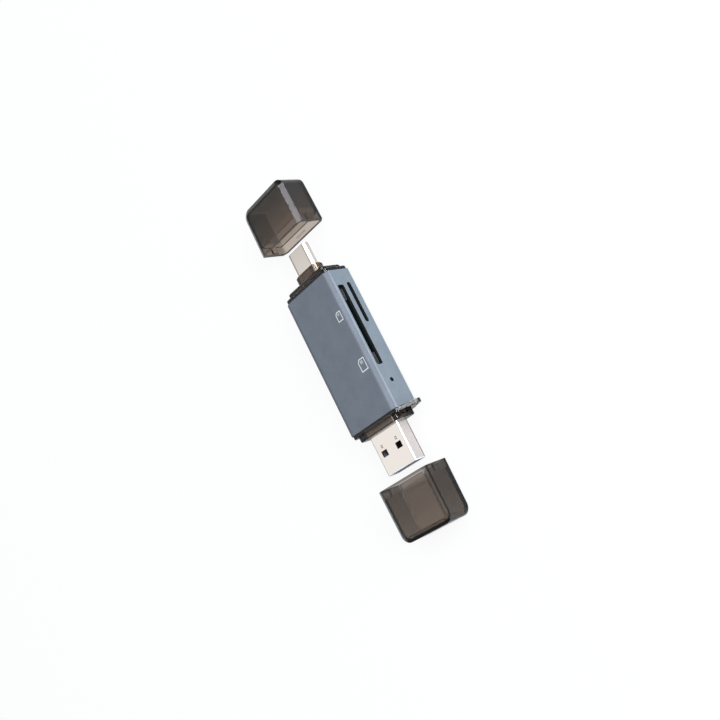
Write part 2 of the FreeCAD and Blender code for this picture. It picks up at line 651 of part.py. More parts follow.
def add_oval(sketch, width, height, across=None, up=None):
    """Slot shape with fully round ends, centred on (across, up), longer across."""
    point = add_centre(sketch, across, up)
    x, y, r = size(across), size(up), size(height) / 2
    a = size(width) / 2 - r
    turn = 1.5707963267948966
    low = sketch.addGeometry(Part.LineSegment(FreeCAD.Vector(x - a, y - r), FreeCAD.Vector(x + a, y - r)))
    right = sketch.addGeometry(Part.ArcOfCircle(
        Part.Circle(FreeCAD.Vector(x + a, y), FreeCAD.Vector(0, 0, 1), r), -turn, turn))
    high = sketch.addGeometry(Part.LineSegment(FreeCAD.Vector(x + a, y + r), FreeCAD.Vector(x - a, y + r)))
    left = sketch.addGeometry(Part.ArcOfCircle(
        Part.Circle(FreeCAD.Vector(x - a, y), FreeCAD.Vector(0, 0, 1), r), turn, 3 * turn))
    ring = [low, right, high, left]
    for item, following in zip(ring, ring[1:] + ring[:1]):
        sketch.addConstraint(Sketcher.Constraint("Tangent", item, 2, following, 1))
    sketch.addConstraint(Sketcher.Constraint("Horizontal", low))
    sketch.addConstraint(Sketcher.Constraint("Symmetric", right, 3, left, 3, point, 1))
    drive(sketch, "DistanceY", low, 1, high, 2, height)
    # the round ends reach half a height past the lines, so the line length is width less height
    middle_length = sketch.addConstraint(Sketcher.Constraint("DistanceX", low, 1, low, 2, 2 * a))
    sketch.setExpression(f"Constraints[{middle_length}]", f"{formula(width)} - {formula(height)}")


def add_circle(sketch, diameter, across=None, up=None):
    """Circle on (across, up)."""
    point = add_centre(sketch, across, up)
    middle = FreeCAD.Vector(size(across), size(up), 0)
    circle = sketch.addGeometry(Part.Circle(middle, FreeCAD.Vector(0, 0, 1), size(diameter) / 2))
    sketch.addConstraint(Sketcher.Constraint("Coincident", circle, 3, point, 1))
    drive(sketch, "Diameter", circle, diameter)


def pad(body, sketch, length, name, backward=False):
    """Pad the sketch along its normal, or against it."""
    feature = body.newObject("PartDesign::Pad", name)
    feature.Profile = sketch
    feature.Type = "Length"
    feature.Reversed = backward
    feature.setExpression("Length", formula(length))
    finish(body, feature)
    return feature


def pocket(body, sketch, depth, name, forward=False):
    """Pocket against the sketch's normal, or along it, and insist that it removed material."""
    before = body.Tip.Shape.Volume
    feature = body.newObject("PartDesign::Pocket", name)
    feature.Profile = sketch
    feature.Type = "Length"
    feature.Reversed = forward
    feature.setExpression("Length", formula(depth))
    finish(body, feature)
    if feature.Shape.Volume > before - 1e-4:
        raise RuntimeError(f"{body.Label}: {name} removes nothing")
    return feature


def finish(body, feature):
    """Recompute with the new feature as the tip, and stop on an error."""
    body.Tip = feature
    doc.recompute()
    if "Invalid" in feature.State or "Error" in feature.State or feature.Shape.isNull():
        raise RuntimeError(f"{body.Label}: {feature.Name} failed")


def edges_where(feature, test):
    """Names of the feature's edges that pass the test."""
    return [f"Edge{number}" for number, edge in enumerate(feature.Shape.Edges, start=1) if test(edge)]


def dress(body, kind, edges, radius, name):
    """Fillet or chamfer on named edges of the tip, sized by the sheet."""
    base = body.Tip
    if not edges:
        raise RuntimeError(f"{body.Label}: {name} found no edges")
    feature = body.newObject(f"PartDesign::{kind}", name)
    feature.Base = (base, edges)
    feature.setExpression("Radius" if kind == "Fillet" else "Size", formula(radius))
    finish(body, feature)
    return feature


def bevel(body, edges, first, second, name):
    """Chamfer with its first size on the wall beside the edge and its second size on the flat face."""
    feature = dress(body, "Chamfer", edges, first, name)
    feature.ChamferType = "Two distances"
    feature.setExpression("Size2", formula(second))
    finish(body, feature)
    return feature


def repeat(body, feature, axis, span, count, name):
    """Evenly spaced copies of a feature along a body axis, over a whole span."""
    pattern = body.newObject("PartDesign::LinearPattern", name)
    pattern.Originals = [feature]
    pattern.Direction = (origin_feature(body, axis), [""])
    pattern.setExpression("Length", formula(span))
    pattern.setExpression("Occurrences", formula(count))
    finish(body, pattern)
    return pattern


def outside(feature, names, width, thickness):
    """Those of the named edges that have a corner outside a centred width by thickness rectangle."""
    half_y, half_z = size(width) / 2 + 1e-3, size(thickness) / 2 + 1e-3
    return [name for name in names if any(abs(corner.Y) > half_y or abs(corner.Z) > half_z
                                          for corner in feature.Shape.getElement(name).Vertexes)]


def all_at(edge, axis, place, gap=1e-3):
    """True where every point of the edge lies on the plane axis = place."""
    box = edge.BoundBox
    low, high = {"x": (box.XMin, box.XMax), "y": (box.YMin, box.YMax), "z": (box.ZMin, box.ZMax)}[axis]
    return abs(low - place) < gap and abs(high - place) < gap


def runs_along(edge, axis):
    """True for a straight edge along the axis."""
    box = edge.BoundBox
    lengths = {"x": box.XLength, "y": box.YLength, "z": box.ZLength}
    others = [lengths[other] for other in "xyz" if other != axis]
    return lengths[axis] > 1e-3 and max(others) < 1e-3


# sleeve: extruded tube with two card slots and a light hole in the front side
sleeve = make_body("housing_sleeve")
outline = make_sketch(sleeve, "SleeveOutline", "YZ_Plane", "-sleeve_half_length")
add_bevelled_rectangle(outline, "sleeve_width", "sleeve_thickness", "edge_bevel_in", "edge_bevel_down")
pad(sleeve, outline, "sleeve_length", "SleeveTube")
half_thickness = size("sleeve_half_thickness")
dress(sleeve, "Fillet", edges_where(sleeve.Tip, lambda e: runs_along(e, "x")
                                    and (all_at(e, "z", half_thickness) or all_at(e, "z", -half_thickness))),
      "edge_bevel_face_round", "SleeveFaceEdgeRound")
half_width = size("sleeve_half_width")
dress(sleeve, "Fillet", edges_where(sleeve.Tip, lambda e: runs_along(e, "x")
                                    and (all_at(e, "y", half_width) or all_at(e, "y", -half_width))),
      "edge_bevel_side_round", "SleeveSideEdgeRound")
bore = make_sketch(sleeve, "SleeveBore", "YZ_Plane", "-sleeve_half_length")
add_rounded_rectangle(bore, "bore_width", "bore_thickness", "bore_radius")
pocket(sleeve, bore, "sleeve_length", "SleeveHollow", forward=True)
wide_slot = make_sketch(sleeve, "WideSlot", "XZ_Plane", "sleeve_half_width")
add_rounded_rectangle(wide_slot, "wide_slot_length", "wide_slot_height", "wide_slot_corner",
                      "wide_slot_x", "wide_slot_z")
pocket(sleeve, wide_slot, "slot_cut_depth", "WideSlotCut")
small_slot = make_sketch(sleeve, "SmallSlot", "XZ_Plane", "sleeve_half_width")
add_oval(small_slot, "small_slot_length", "small_slot_height", "small_slot_x", "small_slot_z")
pocket(sleeve, small_slot, "slot_cut_depth", "SmallSlotCut")
light_hole = make_sketch(sleeve, "LightHole", "XZ_Plane", "sleeve_half_width")
add_circle(light_hole, "light_hole", "light_x", "light_z")
pocket(sleeve, light_hole, "slot_cut_depth", "LightHoleCut")
half_length = size("sleeve_half_length")
end_edges = edges_where(sleeve.Tip, lambda e: all_at(e, "x", half_length) or all_at(e, "x", -half_length))
dress(sleeve, "Chamfer", outside(sleeve.Tip, end_edges, "bore_width", "bore_thickness"),
      "sleeve_end_break", "SleeveEndBreak")

# end piece at the small plug: spigot, flange, shoulder and oval collar round the plug
end_c = make_body("type_c_end_piece")
spigot = make_sketch(end_c, "SpigotC", "YZ_Plane", "spigot_start_c")
add_rounded_rectangle(spigot, "spigot_width", "spigot_thickness", "spigot_radius")
pad(end_c, spigot, "spigot_length", "SpigotBlockC")
flange = make_sketch(end_c, "FlangeC", "YZ_Plane", "sleeve_half_length")
add_rounded_rectangle(flange, "flange_width", "flange_thickness", "flange_radius")
pad(end_c, flange, "flange_depth_c", "FlangePlateC")
shoulder = make_sketch(end_c, "ShoulderC", "YZ_Plane", "shoulder_start_c")
add_rounded_rectangle(shoulder, "shoulder_width", "shoulder_thickness", "shoulder_radius")
pad(end_c, shoulder, "shoulder_depth_c", "ShoulderBlockC")
collar = make_sketch(end_c, "CollarC", "YZ_Plane", "collar_start")
add_oval(collar, "collar_width", "collar_thickness")
pad(end_c, collar, "collar_depth", "CollarBlockC")
flange_face = size("shoulder_start_c")
face_edges = edges_where(end_c.Tip, lambda e: all_at(e, "x", flange_face))
dress(end_c, "Chamfer", outside(end_c.Tip, face_edges, "shoulder_width", "shoulder_thickness"),
      "flange_edge_break", "FlangeBreakC")
shoulder_face = size("collar_start")
face_edges = edges_where(end_c.Tip, lambda e: all_at(e, "x", shoulder_face))
dress(end_c, "Chamfer", outside(end_c.Tip, face_edges, "collar_width", "collar_thickness"),
      "shoulder_edge_break", "ShoulderBreakC")
collar_face = size("collar_end")
dress(end_c, "Chamfer", edges_where(end_c.Tip, lambda e: all_at(e, "x", collar_face)),
      "collar_edge_break", "CollarBreak")
hollow = make_sketch(end_c, "SpigotHollowC", "YZ_Plane", "spigot_start_c")
add_rectangle(hollow, "spigot_hollow_width", "spigot_hollow_thickness")
pocket(end_c, hollow, "spigot_hollow_depth", "SpigotHollowCutC", forward=True)
groove = make_sketch(end_c, "KeyGrooveC", "YZ_Plane", "shoulder_start_c")
add_rectangle(groove, "key_groove_width", "key_groove_depth", None, "key_groove_low")
pocket(end_c, groove, "shoulder_depth_c", "KeyGrooveCutC", forward=True)
plug_way = make_sketch(end_c, "PlugWayC", "YZ_Plane", "spigot_start_c")
add_oval(plug_way, "plug_c_hole_width", "plug_c_hole_thickness")
pocket(end_c, plug_way, "end_piece_length_c", "PlugWayCutC", forward=True)

# end piece at the wide plug, with the lanyard ear on its flange
end_a = make_body("type_a_end_piece")
spigot = make_sketch(end_a, "SpigotA", "YZ_Plane", "-sleeve_half_length")
add_rounded_rectangle(spigot, "spigot_width", "spigot_thickness", "spigot_radius")
pad(end_a, spigot, "spigot_length", "SpigotBlockA")
flange = make_sketch(end_a, "FlangeA", "YZ_Plane", "flange_start_a")
add_rounded_rectangle(flange, "flange_width", "flange_thickness", "flange_radius")
pad(end_a, flange, "flange_depth_a", "FlangePlateA")


def add_ear(sketch):
    """Lobe with a round tip, running back to the flange's two front corners."""
    tip = add_centre(sketch, "ear_y", "ear_z")
    middle = FreeCAD.Vector(size("ear_y"), size("ear_z"), 0)
    radius = size("ear_radius")
    high = FreeCAD.Vector(size("ear_root_y"), size("ear_root_z"), 0)
    low = FreeCAD.Vector(size("ear_low_root_y"), size("ear_low_root_z"), 0)
    circle = Part.Circle(middle, FreeCAD.Vector(0, 0, 1), radius)
    arc = sketch.addGeometry(Part.ArcOfCircle(circle, 2.62, 4.25))
    high_point = middle + FreeCAD.Vector(-0.866, 0.5, 0) * radius
    low_point = middle + FreeCAD.Vector(-0.446, -0.895, 0) * radius
    upper = sketch.addGeometry(Part.LineSegment(high, high_point))
    lower = sketch.addGeometry(Part.LineSegment(low_point, low))
    root = sketch.addGeometry(Part.LineSegment(low, high))
    sketch.addConstraint(Sketcher.Constraint("Coincident", arc, 3, tip, 1))
    sketch.addConstraint(Sketcher.Constraint("Tangent", upper, 2, arc, 1))
    sketch.addConstraint(Sketcher.Constraint("Tangent", arc, 2, lower, 1))
    sketch.addConstraint(Sketcher.Constraint("Coincident", lower, 2, root, 1))
    sketch.addConstraint(Sketcher.Constraint("Coincident", root, 2, upper, 1))
    drive(sketch, "Radius", arc, "ear_radius")
    drive(sketch, "DistanceX", -1, 1, upper, 1, "ear_root_y")
    drive(sketch, "DistanceY", -1, 1, upper, 1, "ear_root_z")
    drive(sketch, "DistanceX", -1, 1, lower, 2, "ear_low_root_y")
    drive(sketch, "DistanceY", -1, 1, lower, 2, "ear_low_root_z")


ear = make_sketch(end_a, "Ear", "YZ_Plane", "flange_start_a")
add_ear(ear)
pad(end_a, ear, "flange_depth_a", "EarPlate")
ear_hole = make_sketch(end_a, "EarHole", "YZ_Plane", "flange_start_a")
add_circle(ear_hole, "ear_hole", "ear_y", "ear_z")
pocket(end_a, ear_hole, "flange_depth_a", "EarHoleCut", forward=True)
shoulder = make_sketch(end_a, "ShoulderA", "YZ_Plane", "-shoulder_end_a")
add_rounded_rectangle(shoulder, "shoulder_width", "shoulder_thickness", "shoulder_radius")
pad(end_a, shoulder, "shoulder_depth_a", "ShoulderBlockA")
flange_face = size("flange_start_a")
hole_rim = math.pi * size("ear_hole")
face_edges = edges_where(end_a.Tip, lambda e: all_at(e, "x", flange_face) and abs(e.Length - hole_rim) > 1e-3)
dress(end_a, "Chamfer", outside(end_a.Tip, face_edges, "shoulder_width", "shoulder_thickness"),
      "flange_edge_break", "FlangeBreakA")
shoulder_face = -size("shoulder_end_a")
dress(end_a, "Chamfer", edges_where(end_a.Tip, lambda e: all_at(e, "x", shoulder_face)),
      "shoulder_edge_break", "ShoulderBreakA")
hollow = make_sketch(end_a, "SpigotHollowA", "YZ_Plane", "-spigot_start_c")
add_rectangle(hollow, "spigot_hollow_width", "spigot_hollow_thickness")
pocket(end_a, hollow, "spigot_hollow_depth", "SpigotHollowCutA")
groove = make_sketch(end_a, "KeyGrooveA", "YZ_Plane", "-shoulder_end_a")
add_rectangle(groove, "key_groove_width", "key_groove_depth", None, "key_groove_low")
pocket(end_a, groove, "shoulder_depth_a", "KeyGrooveCutA", forward=True)
plug_way = make_sketch(end_a, "PlugWayA", "YZ_Plane", "-shoulder_end_a")
add_rounded_rectangle(plug_way, "plug_a_hole_width", "plug_a_hole_thickness", "plug_a_radius")
pocket(end_a, plug_way, "end_piece_length_a", "PlugWayCutA", forward=True)

# carrier tray: floor, two rims the board rests on, and four posts, two of them with locating pins
PINNED_POSTS = (2, 3)
carrier = make_body("inner_carrier")
floor = make_sketch(carrier, "CarrierFloor", "XY_Plane", "carrier_low")
add_rectangle(floor, "carrier_length", "carrier_width")
pad(carrier, floor, "carrier_floor", "CarrierPlate")
low_z = size("carrier_low")
dress(carrier, "Chamfer", edges_where(carrier.Tip, lambda e: all_at(e, "z", low_z) and runs_along(e, "x")),
      "carrier_corner_break", "CarrierCornerBreak")
rear_rim = make_sketch(carrier, "CarrierRearRim", "XY_Plane", "carrier_floor_top")
add_rectangle(rear_rim, "carrier_length", "rim_wall", None, "rim_y")
pad(carrier, rear_rim, "carrier_rise", "CarrierRearWall")
front_rim = make_sketch(carrier, "CarrierFrontRim", "XY_Plane", "carrier_floor_top")
add_rectangle(front_rim, "rim_front_length", "rim_wall", "rim_front_x", "-rim_y")
pad(carrier, front_rim, "carrier_rise", "CarrierFrontWall")
posts = make_sketch(carrier, "CarrierPosts", "XY_Plane", "carrier_floor_top")
pins = make_sketch(carrier, "CarrierPins", "XY_Plane", "-board_top")
for number in range(1, 5):
    add_circle(posts, "post_diameter", f"post_{number}_x", f"post_{number}_y")
for number in PINNED_POSTS:
    add_circle(pins, "pin_diameter", f"post_{number}_x", f"post_{number}_y")
pad(carrier, posts, "carrier_rise", "CarrierPostRow")
pad(carrier, pins, "pin_height", "CarrierPinRow")

# circuit board with notches for the wide plug's tabs and holes for the carrier pins
board = make_body("circuit_board")
plate = make_sketch(board, "BoardOutline", "XY_Plane", "-board_top")
add_rounded_rectangle(plate, "board_length", "board_width", "board_corner")
pad(board, plate, "board_thickness", "BoardPlate")
notches = make_sketch(board, "BoardNotches", "XY_Plane", "-board_top")
add_rectangle(notches, "board_notch_length", "board_notch_width", "board_notch_x", "board_notch_y")
add_rectangle(notches, "board_notch_length", "board_notch_width", "board_notch_x", "-board_notch_y")
pocket(board, notches, "board_thickness", "BoardNotchCut", forward=True)
pin_holes = make_sketch(board, "BoardPinHoles", "XY_Plane", "-board_top")
for number in PINNED_POSTS:
    add_circle(pin_holes, "pin_hole", f"post_{number}_x", f"post_{number}_y")
pocket(board, pin_holes, "board_thickness", "BoardPinHoleCut", forward=True)

# wide plug: folded shell with four latch windows and two solder tabs
shell_a = make_body("type_a_shell")
outside = make_sketch(shell_a, "ShellAOutside", "YZ_Plane", "-plug_a_tip")
add_rounded_rectangle(outside, "plug_a_width", "plug_a_thickness", "plug_a_radius")
pad(shell_a, outside, "plug_a_length", "ShellATube")
tip_face = -size("plug_a_tip")
dress(shell_a, "Chamfer", edges_where(shell_a.Tip, lambda e: all_at(e, "x", tip_face)),
      "plug_a_tip_break", "ShellATipBreak")
inside = make_sketch(shell_a, "ShellAInside", "YZ_Plane", "-plug_a_tip")
add_rounded_rectangle(inside, "plug_a_inner_width", "plug_a_inner_thickness", "plug_a_inner_radius")
pocket(shell_a, inside, "plug_a_length", "ShellAHollow", forward=True)
windows = make_sketch(shell_a, "ShellAWindows", "XY_Plane", "-plug_a_half")
add_rectangle(windows, "window_length", "window_width", "-window_x", "window_half_spacing")
add_rectangle(windows, "window_length", "window_width", "-window_x", "-window_half_spacing")
pocket(shell_a, windows, "plug_a_thickness", "ShellAWindowCut", forward=True)
tabs = make_sketch(shell_a, "ShellATabs", "XY_Plane", "shell_tab_low")
add_rectangle(tabs, "shell_tab_length", "plug_a_wall", "shell_tab_x", "board_notch_y")
add_rectangle(tabs, "shell_tab_length", "plug_a_wall", "shell_tab_x", "-board_notch_y")
pad(shell_a, tabs, "shell_tab_height", "ShellATabPair")

tongue = make_body("type_a_tongue")
blade = make_sketch(tongue, "TongueBlade", "YZ_Plane", "-tongue_front")
add_rectangle(blade, "tongue_width", "tongue_thickness", None, "tongue_middle")
pad(tongue, blade, "tongue_length", "TongueBladeBlock")
block = make_sketch(tongue, "TongueBlock", "YZ_Plane", "-tongue_block_front")
add_rectangle(block, "tongue_width", "tongue_block_thickness")
pad(tongue, block, "tongue_block_length", "TongueRearBlock")
front_edge = -size("tongue_front")
dress(tongue, "Chamfer", edges_where(tongue.Tip, lambda e: all_at(e, "x", front_edge) and runs_along(e, "y")
                                     and e.CenterOfMass.z > size("tongue_middle")),
      "tongue_nose", "TongueNose")

strips = make_body("type_a_front_contacts")
strip_row = make_sketch(strips, "StripRow", "XY_Plane", "tongue_top")
for place in ("strip_inner_y", "-strip_inner_y", "strip_outer_y", "-strip_outer_y"):
    add_rectangle(strip_row, "strip_length", "strip_width", "-strip_x", place)
pad(strips, strip_row, "strip_gauge", "StripBlades")

bumps = make_body("type_a_rear_contacts")
bump = make_sketch(bumps, "FirstBump", "XZ_Plane", "bump_start")


def add_bump(sketch):
    """Bowed spring seen from the side: a flat foot and an arched back."""
    a, low, top = size("bump_length") / 2, size("tongue_top"), size("bump_top")
    middle = -size("bump_x")
    base = sketch.addGeometry(Part.LineSegment(FreeCAD.Vector(middle - a, low, 0),
                                               FreeCAD.Vector(middle + a, low, 0)))
    radius = (a * a + (top - low) ** 2) / (2 * (top - low))
    lean = math.atan2(low - top + radius, a)
    circle = Part.Circle(FreeCAD.Vector(middle, top - radius, 0), FreeCAD.Vector(0, 0, 1), radius)
    arc = sketch.addGeometry(Part.ArcOfCircle(circle, lean, math.pi - lean))
    crest = sketch.addGeometry(Part.Point(FreeCAD.Vector(middle, top, 0)), True)
    sketch.addConstraint(Sketcher.Constraint("Horizontal", base))
    sketch.addConstraint(Sketcher.Constraint("Coincident", base, 2, arc, 1))
    sketch.addConstraint(Sketcher.Constraint("Coincident", arc, 2, base, 1))
    sketch.addConstraint(Sketcher.Constraint("PointOnObject", crest, 1, arc))
    drive(sketch, "DistanceX", base, 1, base, 2, "bump_length")
    drive(sketch, "DistanceY", -1, 1, base, 1, "tongue_top")
    drive(sketch, "DistanceX", crest, 1, -1, 1, "bump_x")
    drive(sketch, "DistanceX", base, 1, crest, 1, "bump_half_length")
    drive(sketch, "DistanceY", base, 1, crest, 1, "bump_height")


add_bump(bump)
first_bump = pad(bumps, bump, "bump_width", "BumpBlock")
repeat(bumps, first_bump, "Y_Axis", "bump_span", "bump_count", "BumpRow")

# small plug: oval shell, insulator with the mating port, two contact rows and the side latches
shell_c = make_body("type_c_shell")
outside = make_sketch(shell_c, "ShellCOutside", "YZ_Plane", "plug_c_back")
add_oval(outside, "plug_c_width", "plug_c_thickness")
pad(shell_c, outside, "plug_c_length", "ShellCTube")
tip_face_c = size("plug_c_tip")
dress(shell_c, "Chamfer", edges_where(shell_c.Tip, lambda e: all_at(e, "x", tip_face_c)),
      "plug_c_tip_break", "ShellCTipBreak")
inside = make_sketch(shell_c, "ShellCInside", "YZ_Plane", "plug_c_back")
add_oval(inside, "plug_c_inner_width", "plug_c_inner_thickness")
pocket(shell_c, inside, "plug_c_length", "ShellCHollow", forward=True)

insulator = make_body("type_c_insulator")
core = make_sketch(insulator, "InsulatorCore", "YZ_Plane", "plug_c_back")
add_oval(core, "insulator_width", "insulator_thickness")
pad(insulator, core, "insulator_length", "InsulatorBlock")
port = make_sketch(insulator, "Port", "YZ_Plane", "insulator_front")
add_rounded_rectangle(port, "port_width", "port_height", "port_radius")
pocket(insulator, port, "port_depth", "PortCut")

for label, level in (("type_c_upper_contacts", "finger_upper_z"), ("type_c_lower_contacts", "-port_half_height")):
    fingers = make_body(label)
    finger = make_sketch(fingers, "FirstFinger", "XY_Plane", level)
    add_rectangle(finger, "finger_length", "finger_width", "finger_x", "finger_first_y")
    first_finger = pad(fingers, finger, "finger_gauge", "FingerBlade")
    repeat(fingers, first_finger, "Y_Axis", "finger_span", "finger_count", "FingerRow")

latch = make_body("type_c_latch_spring")
outer = make_sketch(latch, "LatchOutside", "XY_Plane", "latch_low")
add_rectangle(outer, "latch_length", "latch_width", "latch_x")
pad(latch, outer, "latch_height", "LatchBlock")
inner = make_sketch(latch, "LatchInside", "XY_Plane", "latch_low")
add_rectangle(inner, "latch_length", "latch_inner_width", "latch_hollow_x")
pocket(latch, inner, "latch_height", "LatchHollow", forward=True)

# socket for the wide card on top of the board
wide_frame = make_body("wide_card_frame")
base = make_sketch(wide_frame, "WideFrameBase", "XY_Plane", "board_top")
add_rectangle(base, "wide_frame_width", "wide_frame_depth", "wide_slot_x", "wide_frame_y")
pad(wide_frame, base, "wide_frame_height", "WideFrameBlock")
card_space = make_sketch(wide_frame, "WideCardSpace", "XY_Plane", "wide_pocket_floor")
add_rectangle(card_space, "wide_pocket_width", "wide_pocket_cut_length", "wide_slot_x", "wide_pocket_cut_y")
pocket(wide_frame, card_space, "wide_pocket_height", "WideCardSpaceCut", forward=True)
gate = make_sketch(wide_frame, "WideContactGate", "XY_Plane", "board_top")
add_rectangle(gate, "wide_gate_width", "wide_gate_depth", "wide_slot_x", "wide_gate_y")
pocket(wide_frame, gate, "wide_gate_height", "WideContactGateCut", forward=True)
slit = make_sketch(wide_frame, "WideContactSlit", "XZ_Plane", "-wide_rear_face")
add_rectangle(slit, "wide_gate_width", "wide_slit_height", "wide_slot_x", "wide_slit_z")
pocket(wide_frame, slit, "wide_rear_wall", "WideContactSlitCut", forward=True)

wide_cover = make_body("wide_card_cover")
sheet_block = make_sketch(wide_cover, "WideCoverBlock", "XY_Plane", "wide_skirt_low")
add_rectangle(sheet_block, "wide_cover_width", "wide_frame_depth", "wide_slot_x", "wide_frame_y")
pad(wide_cover, sheet_block, "wide_cover_height", "WideCoverSheet")
under = make_sketch(wide_cover, "WideCoverUnder", "XY_Plane", "wide_skirt_low")
add_rectangle(under, "wide_cover_inner", "wide_cover_cut_length", "wide_slot_x", "wide_frame_y")
pocket(wide_cover, under, "cover_skirt", "WideCoverHollow", forward=True)
lips = make_sketch(wide_cover, "WideCoverLips", "XY_Plane", "cover_lip_low")
add_rectangle(lips, "cover_lip_length", "cover_gauge", "cover_lip_left_x", "cover_lip_y")
add_rectangle(lips, "cover_lip_length", "cover_gauge", "cover_lip_right_x", "cover_lip_y")
pad(wide_cover, lips, "cover_lip_rise", "WideCoverLipPair")


def add_spring_strip(sketch):
    """Side view of a bent strip: solder tail, upright through the rear wall, blade over the floor."""
    tail, rise = size("wide_contact_tail"), size("wide_contact_rise")
    reach, gauge = size("wide_contact_reach"), size("wide_contact_gauge")
    y, z = size("wide_contact_end"), size("board_top")
    points = [(y, z), (y - tail, z), (y - tail, z + rise), (y - tail - reach, z + rise),
              (y - tail - reach, z + rise + gauge), (y - tail + gauge, z + rise + gauge),
              (y - tail + gauge, z + gauge), (y, z + gauge)]
    lines = []
    for start, end in zip(points, points[1:] + points[:1]):
        lines.append(sketch.addGeometry(Part.LineSegment(FreeCAD.Vector(*start), FreeCAD.Vector(*end))))
    for line, following in zip(lines, lines[1:] + lines[:1]):
        sketch.addConstraint(Sketcher.Constraint("Coincident", line, 2, following, 1))
    for step, line in enumerate(lines):
        sketch.addConstraint(Sketcher.Constraint("Horizontal" if step % 2 == 0 else "Vertical", line))
    drive(sketch, "DistanceX", -1, 1, lines[0], 1, "wide_contact_end")
    drive(sketch, "DistanceY", -1, 1, lines[0], 1, "board_top")
    drive(sketch, "DistanceX", lines[0], 2, lines[0], 1, "wide_contact_tail")
    drive(sketch, "DistanceY", lines[1], 1, lines[1], 2, "wide_contact_rise")
    drive(sketch, "DistanceX", lines[2], 2, lines[2], 1, "wide_contact_reach")
    for line in (3, 7):
        drive(sketch, "DistanceY", *((lines[line], 1, lines[line], 2) if line == 3
                                     else (lines[line], 2, lines[line], 1)), "wide_contact_gauge")
    drive(sketch, "DistanceX", lines[1], 1, lines[5], 1, "wide_contact_gauge")


wide_contacts = make_body("wide_card_contacts")
strip = make_sketch(wide_contacts, "WideContactStrip", "YZ_Plane", "wide_contact_first_x")
add_spring_strip(strip)
first_strip = pad(wide_contacts, strip, "wide_contact_width", "WideContactBlade")
repeat(wide_contacts, first_strip, "X_Axis", "wide_contact_span", "wide_contact_count", "WideContactRow")

# flat spring rings that lie on the floor at both ends of the wide socket's mouth
wide_guides = make_body("wide_card_guides")
rings = make_sketch(wide_guides, "WideGuideRings", "XY_Plane", "wide_pocket_floor")
for middle in ("guide_left_x", "guide_right_x"):
    add_oval(rings, "guide_length", "guide_width", middle, "guide_y")
    add_oval(rings, "guide_hole_length", "guide_hole_width", middle, "guide_y")
pad(wide_guides, rings, "guide_gauge", "WideGuidePair")

# socket for the small card under the board
small_frame = make_body("small_card_frame")
base = make_sketch(small_frame, "SmallFrameBase", "XY_Plane", "small_frame_low")
add_rectangle(base, "small_frame_width", "small_frame_depth", "small_slot_x", "small_frame_y")
pad(small_frame, base, "small_frame_height", "SmallFrameBlock")
card_space = make_sketch(small_frame, "SmallCardSpace", "XY_Plane", "small_frame_low")
add_rectangle(card_space, "small_pocket_width", "small_pocket_cut_length", "small_slot_x", "small_pocket_cut_y")
pocket(small_frame, card_space, "small_pocket_height", "SmallCardSpaceCut", forward=True)

small_cover = make_body("small_card_cover")
sheet_block = make_sketch(small_cover, "SmallCoverBlock", "XY_Plane", "small_cover_low")
add_rectangle(sheet_block, "small_cover_width", "small_frame_depth", "small_slot_x", "small_frame_y")
pad(small_cover, sheet_block, "small_cover_height", "SmallCoverSheet")
above = make_sketch(small_cover, "SmallCoverInside", "XY_Plane", "small_frame_low")
add_rectangle(above, "small_cover_inner", "small_cover_cut_length", "small_slot_x", "small_frame_y")
pocket(small_cover, above, "small_cover_skirt", "SmallCoverHollow", forward=True)

small_contacts = make_body("small_card_contacts")
strip = make_sketch(small_contacts, "SmallContactStrip", "XY_Plane", "small_contact_low")
add_rectangle(strip, "small_contact_width", "small_contact_length", "small_contact_first_x", "small_contact_y")
first_strip = pad(small_contacts, strip, "small_contact_gauge", "SmallContactBlade")
repeat(small_contacts, first_strip, "X_Axis", "small_contact_span", "small_contact_count", "SmallContactRow")

# controller chip with a ring of pads, crystal, regulator with five leads
chip = make_body("controller_chip")
square = make_sketch(chip, "ChipOutline", "XY_Plane", "chip_z")
add_rectangle(square, "chip_size", "chip_size", "chip_x", "chip_y")
pad(chip, square, "chip_height", "ChipBlock")

pads = doc.addObject("PartDesign::Body", "controller_pads")
pads.Label = "controller_pads"
pads.AllowCompound = True
pads.setExpression(".Placement.Base.x", "Sizes.frame_x + Sizes.chip_x")
pads.setExpression(".Placement.Base.y", "Sizes.frame_y + Sizes.chip_y")
pads.setExpression(".Placement.Base.z", "Sizes.frame_z")
pad_sketch = make_sketch(pads, "FirstPad", "XY_Plane", "pad_low")
add_rectangle(pad_sketch, "pad_length", "pad_width", "pad_x", "pad_first_y")
first_pad = pad(pads, pad_sketch, "pad_height", "PadBlock")
row_pattern = pads.newObject("PartDesign::LinearPattern", "PadSide")
row_pattern.Direction = (origin_feature(pads, "Y_Axis"), [""])
row_pattern.setExpression("Length", formula("pad_span"))
row_pattern.setExpression("Occurrences", formula("pad_count"))
turn_pattern = pads.newObject("PartDesign::PolarPattern", "PadTurn")
turn_pattern.Axis = (origin_feature(pads, "Z_Axis"), [""])
turn_pattern.Angle = 360
turn_pattern.Occurrences = 4
ring = pads.newObject("PartDesign::MultiTransform", "PadRing")
ring.Originals = [first_pad]
ring.Transformations = [row_pattern, turn_pattern]
finish(pads, ring)

crystal = make_body("crystal_can")
lid = make_sketch(crystal, "CrystalOutline", "XY_Plane", "crystal_low")
add_rounded_rectangle(lid, "crystal_length", "crystal_width", "crystal_corner", "crystal_x", "crystal_y")
pad(crystal, lid, "crystal_height", "CrystalBlock")
crystal_face = size("crystal_low")
dress(crystal, "Chamfer", edges_where(crystal.Tip, lambda e: all_at(e, "z", crystal_face)),
      "crystal_edge_break", "CrystalBreak")

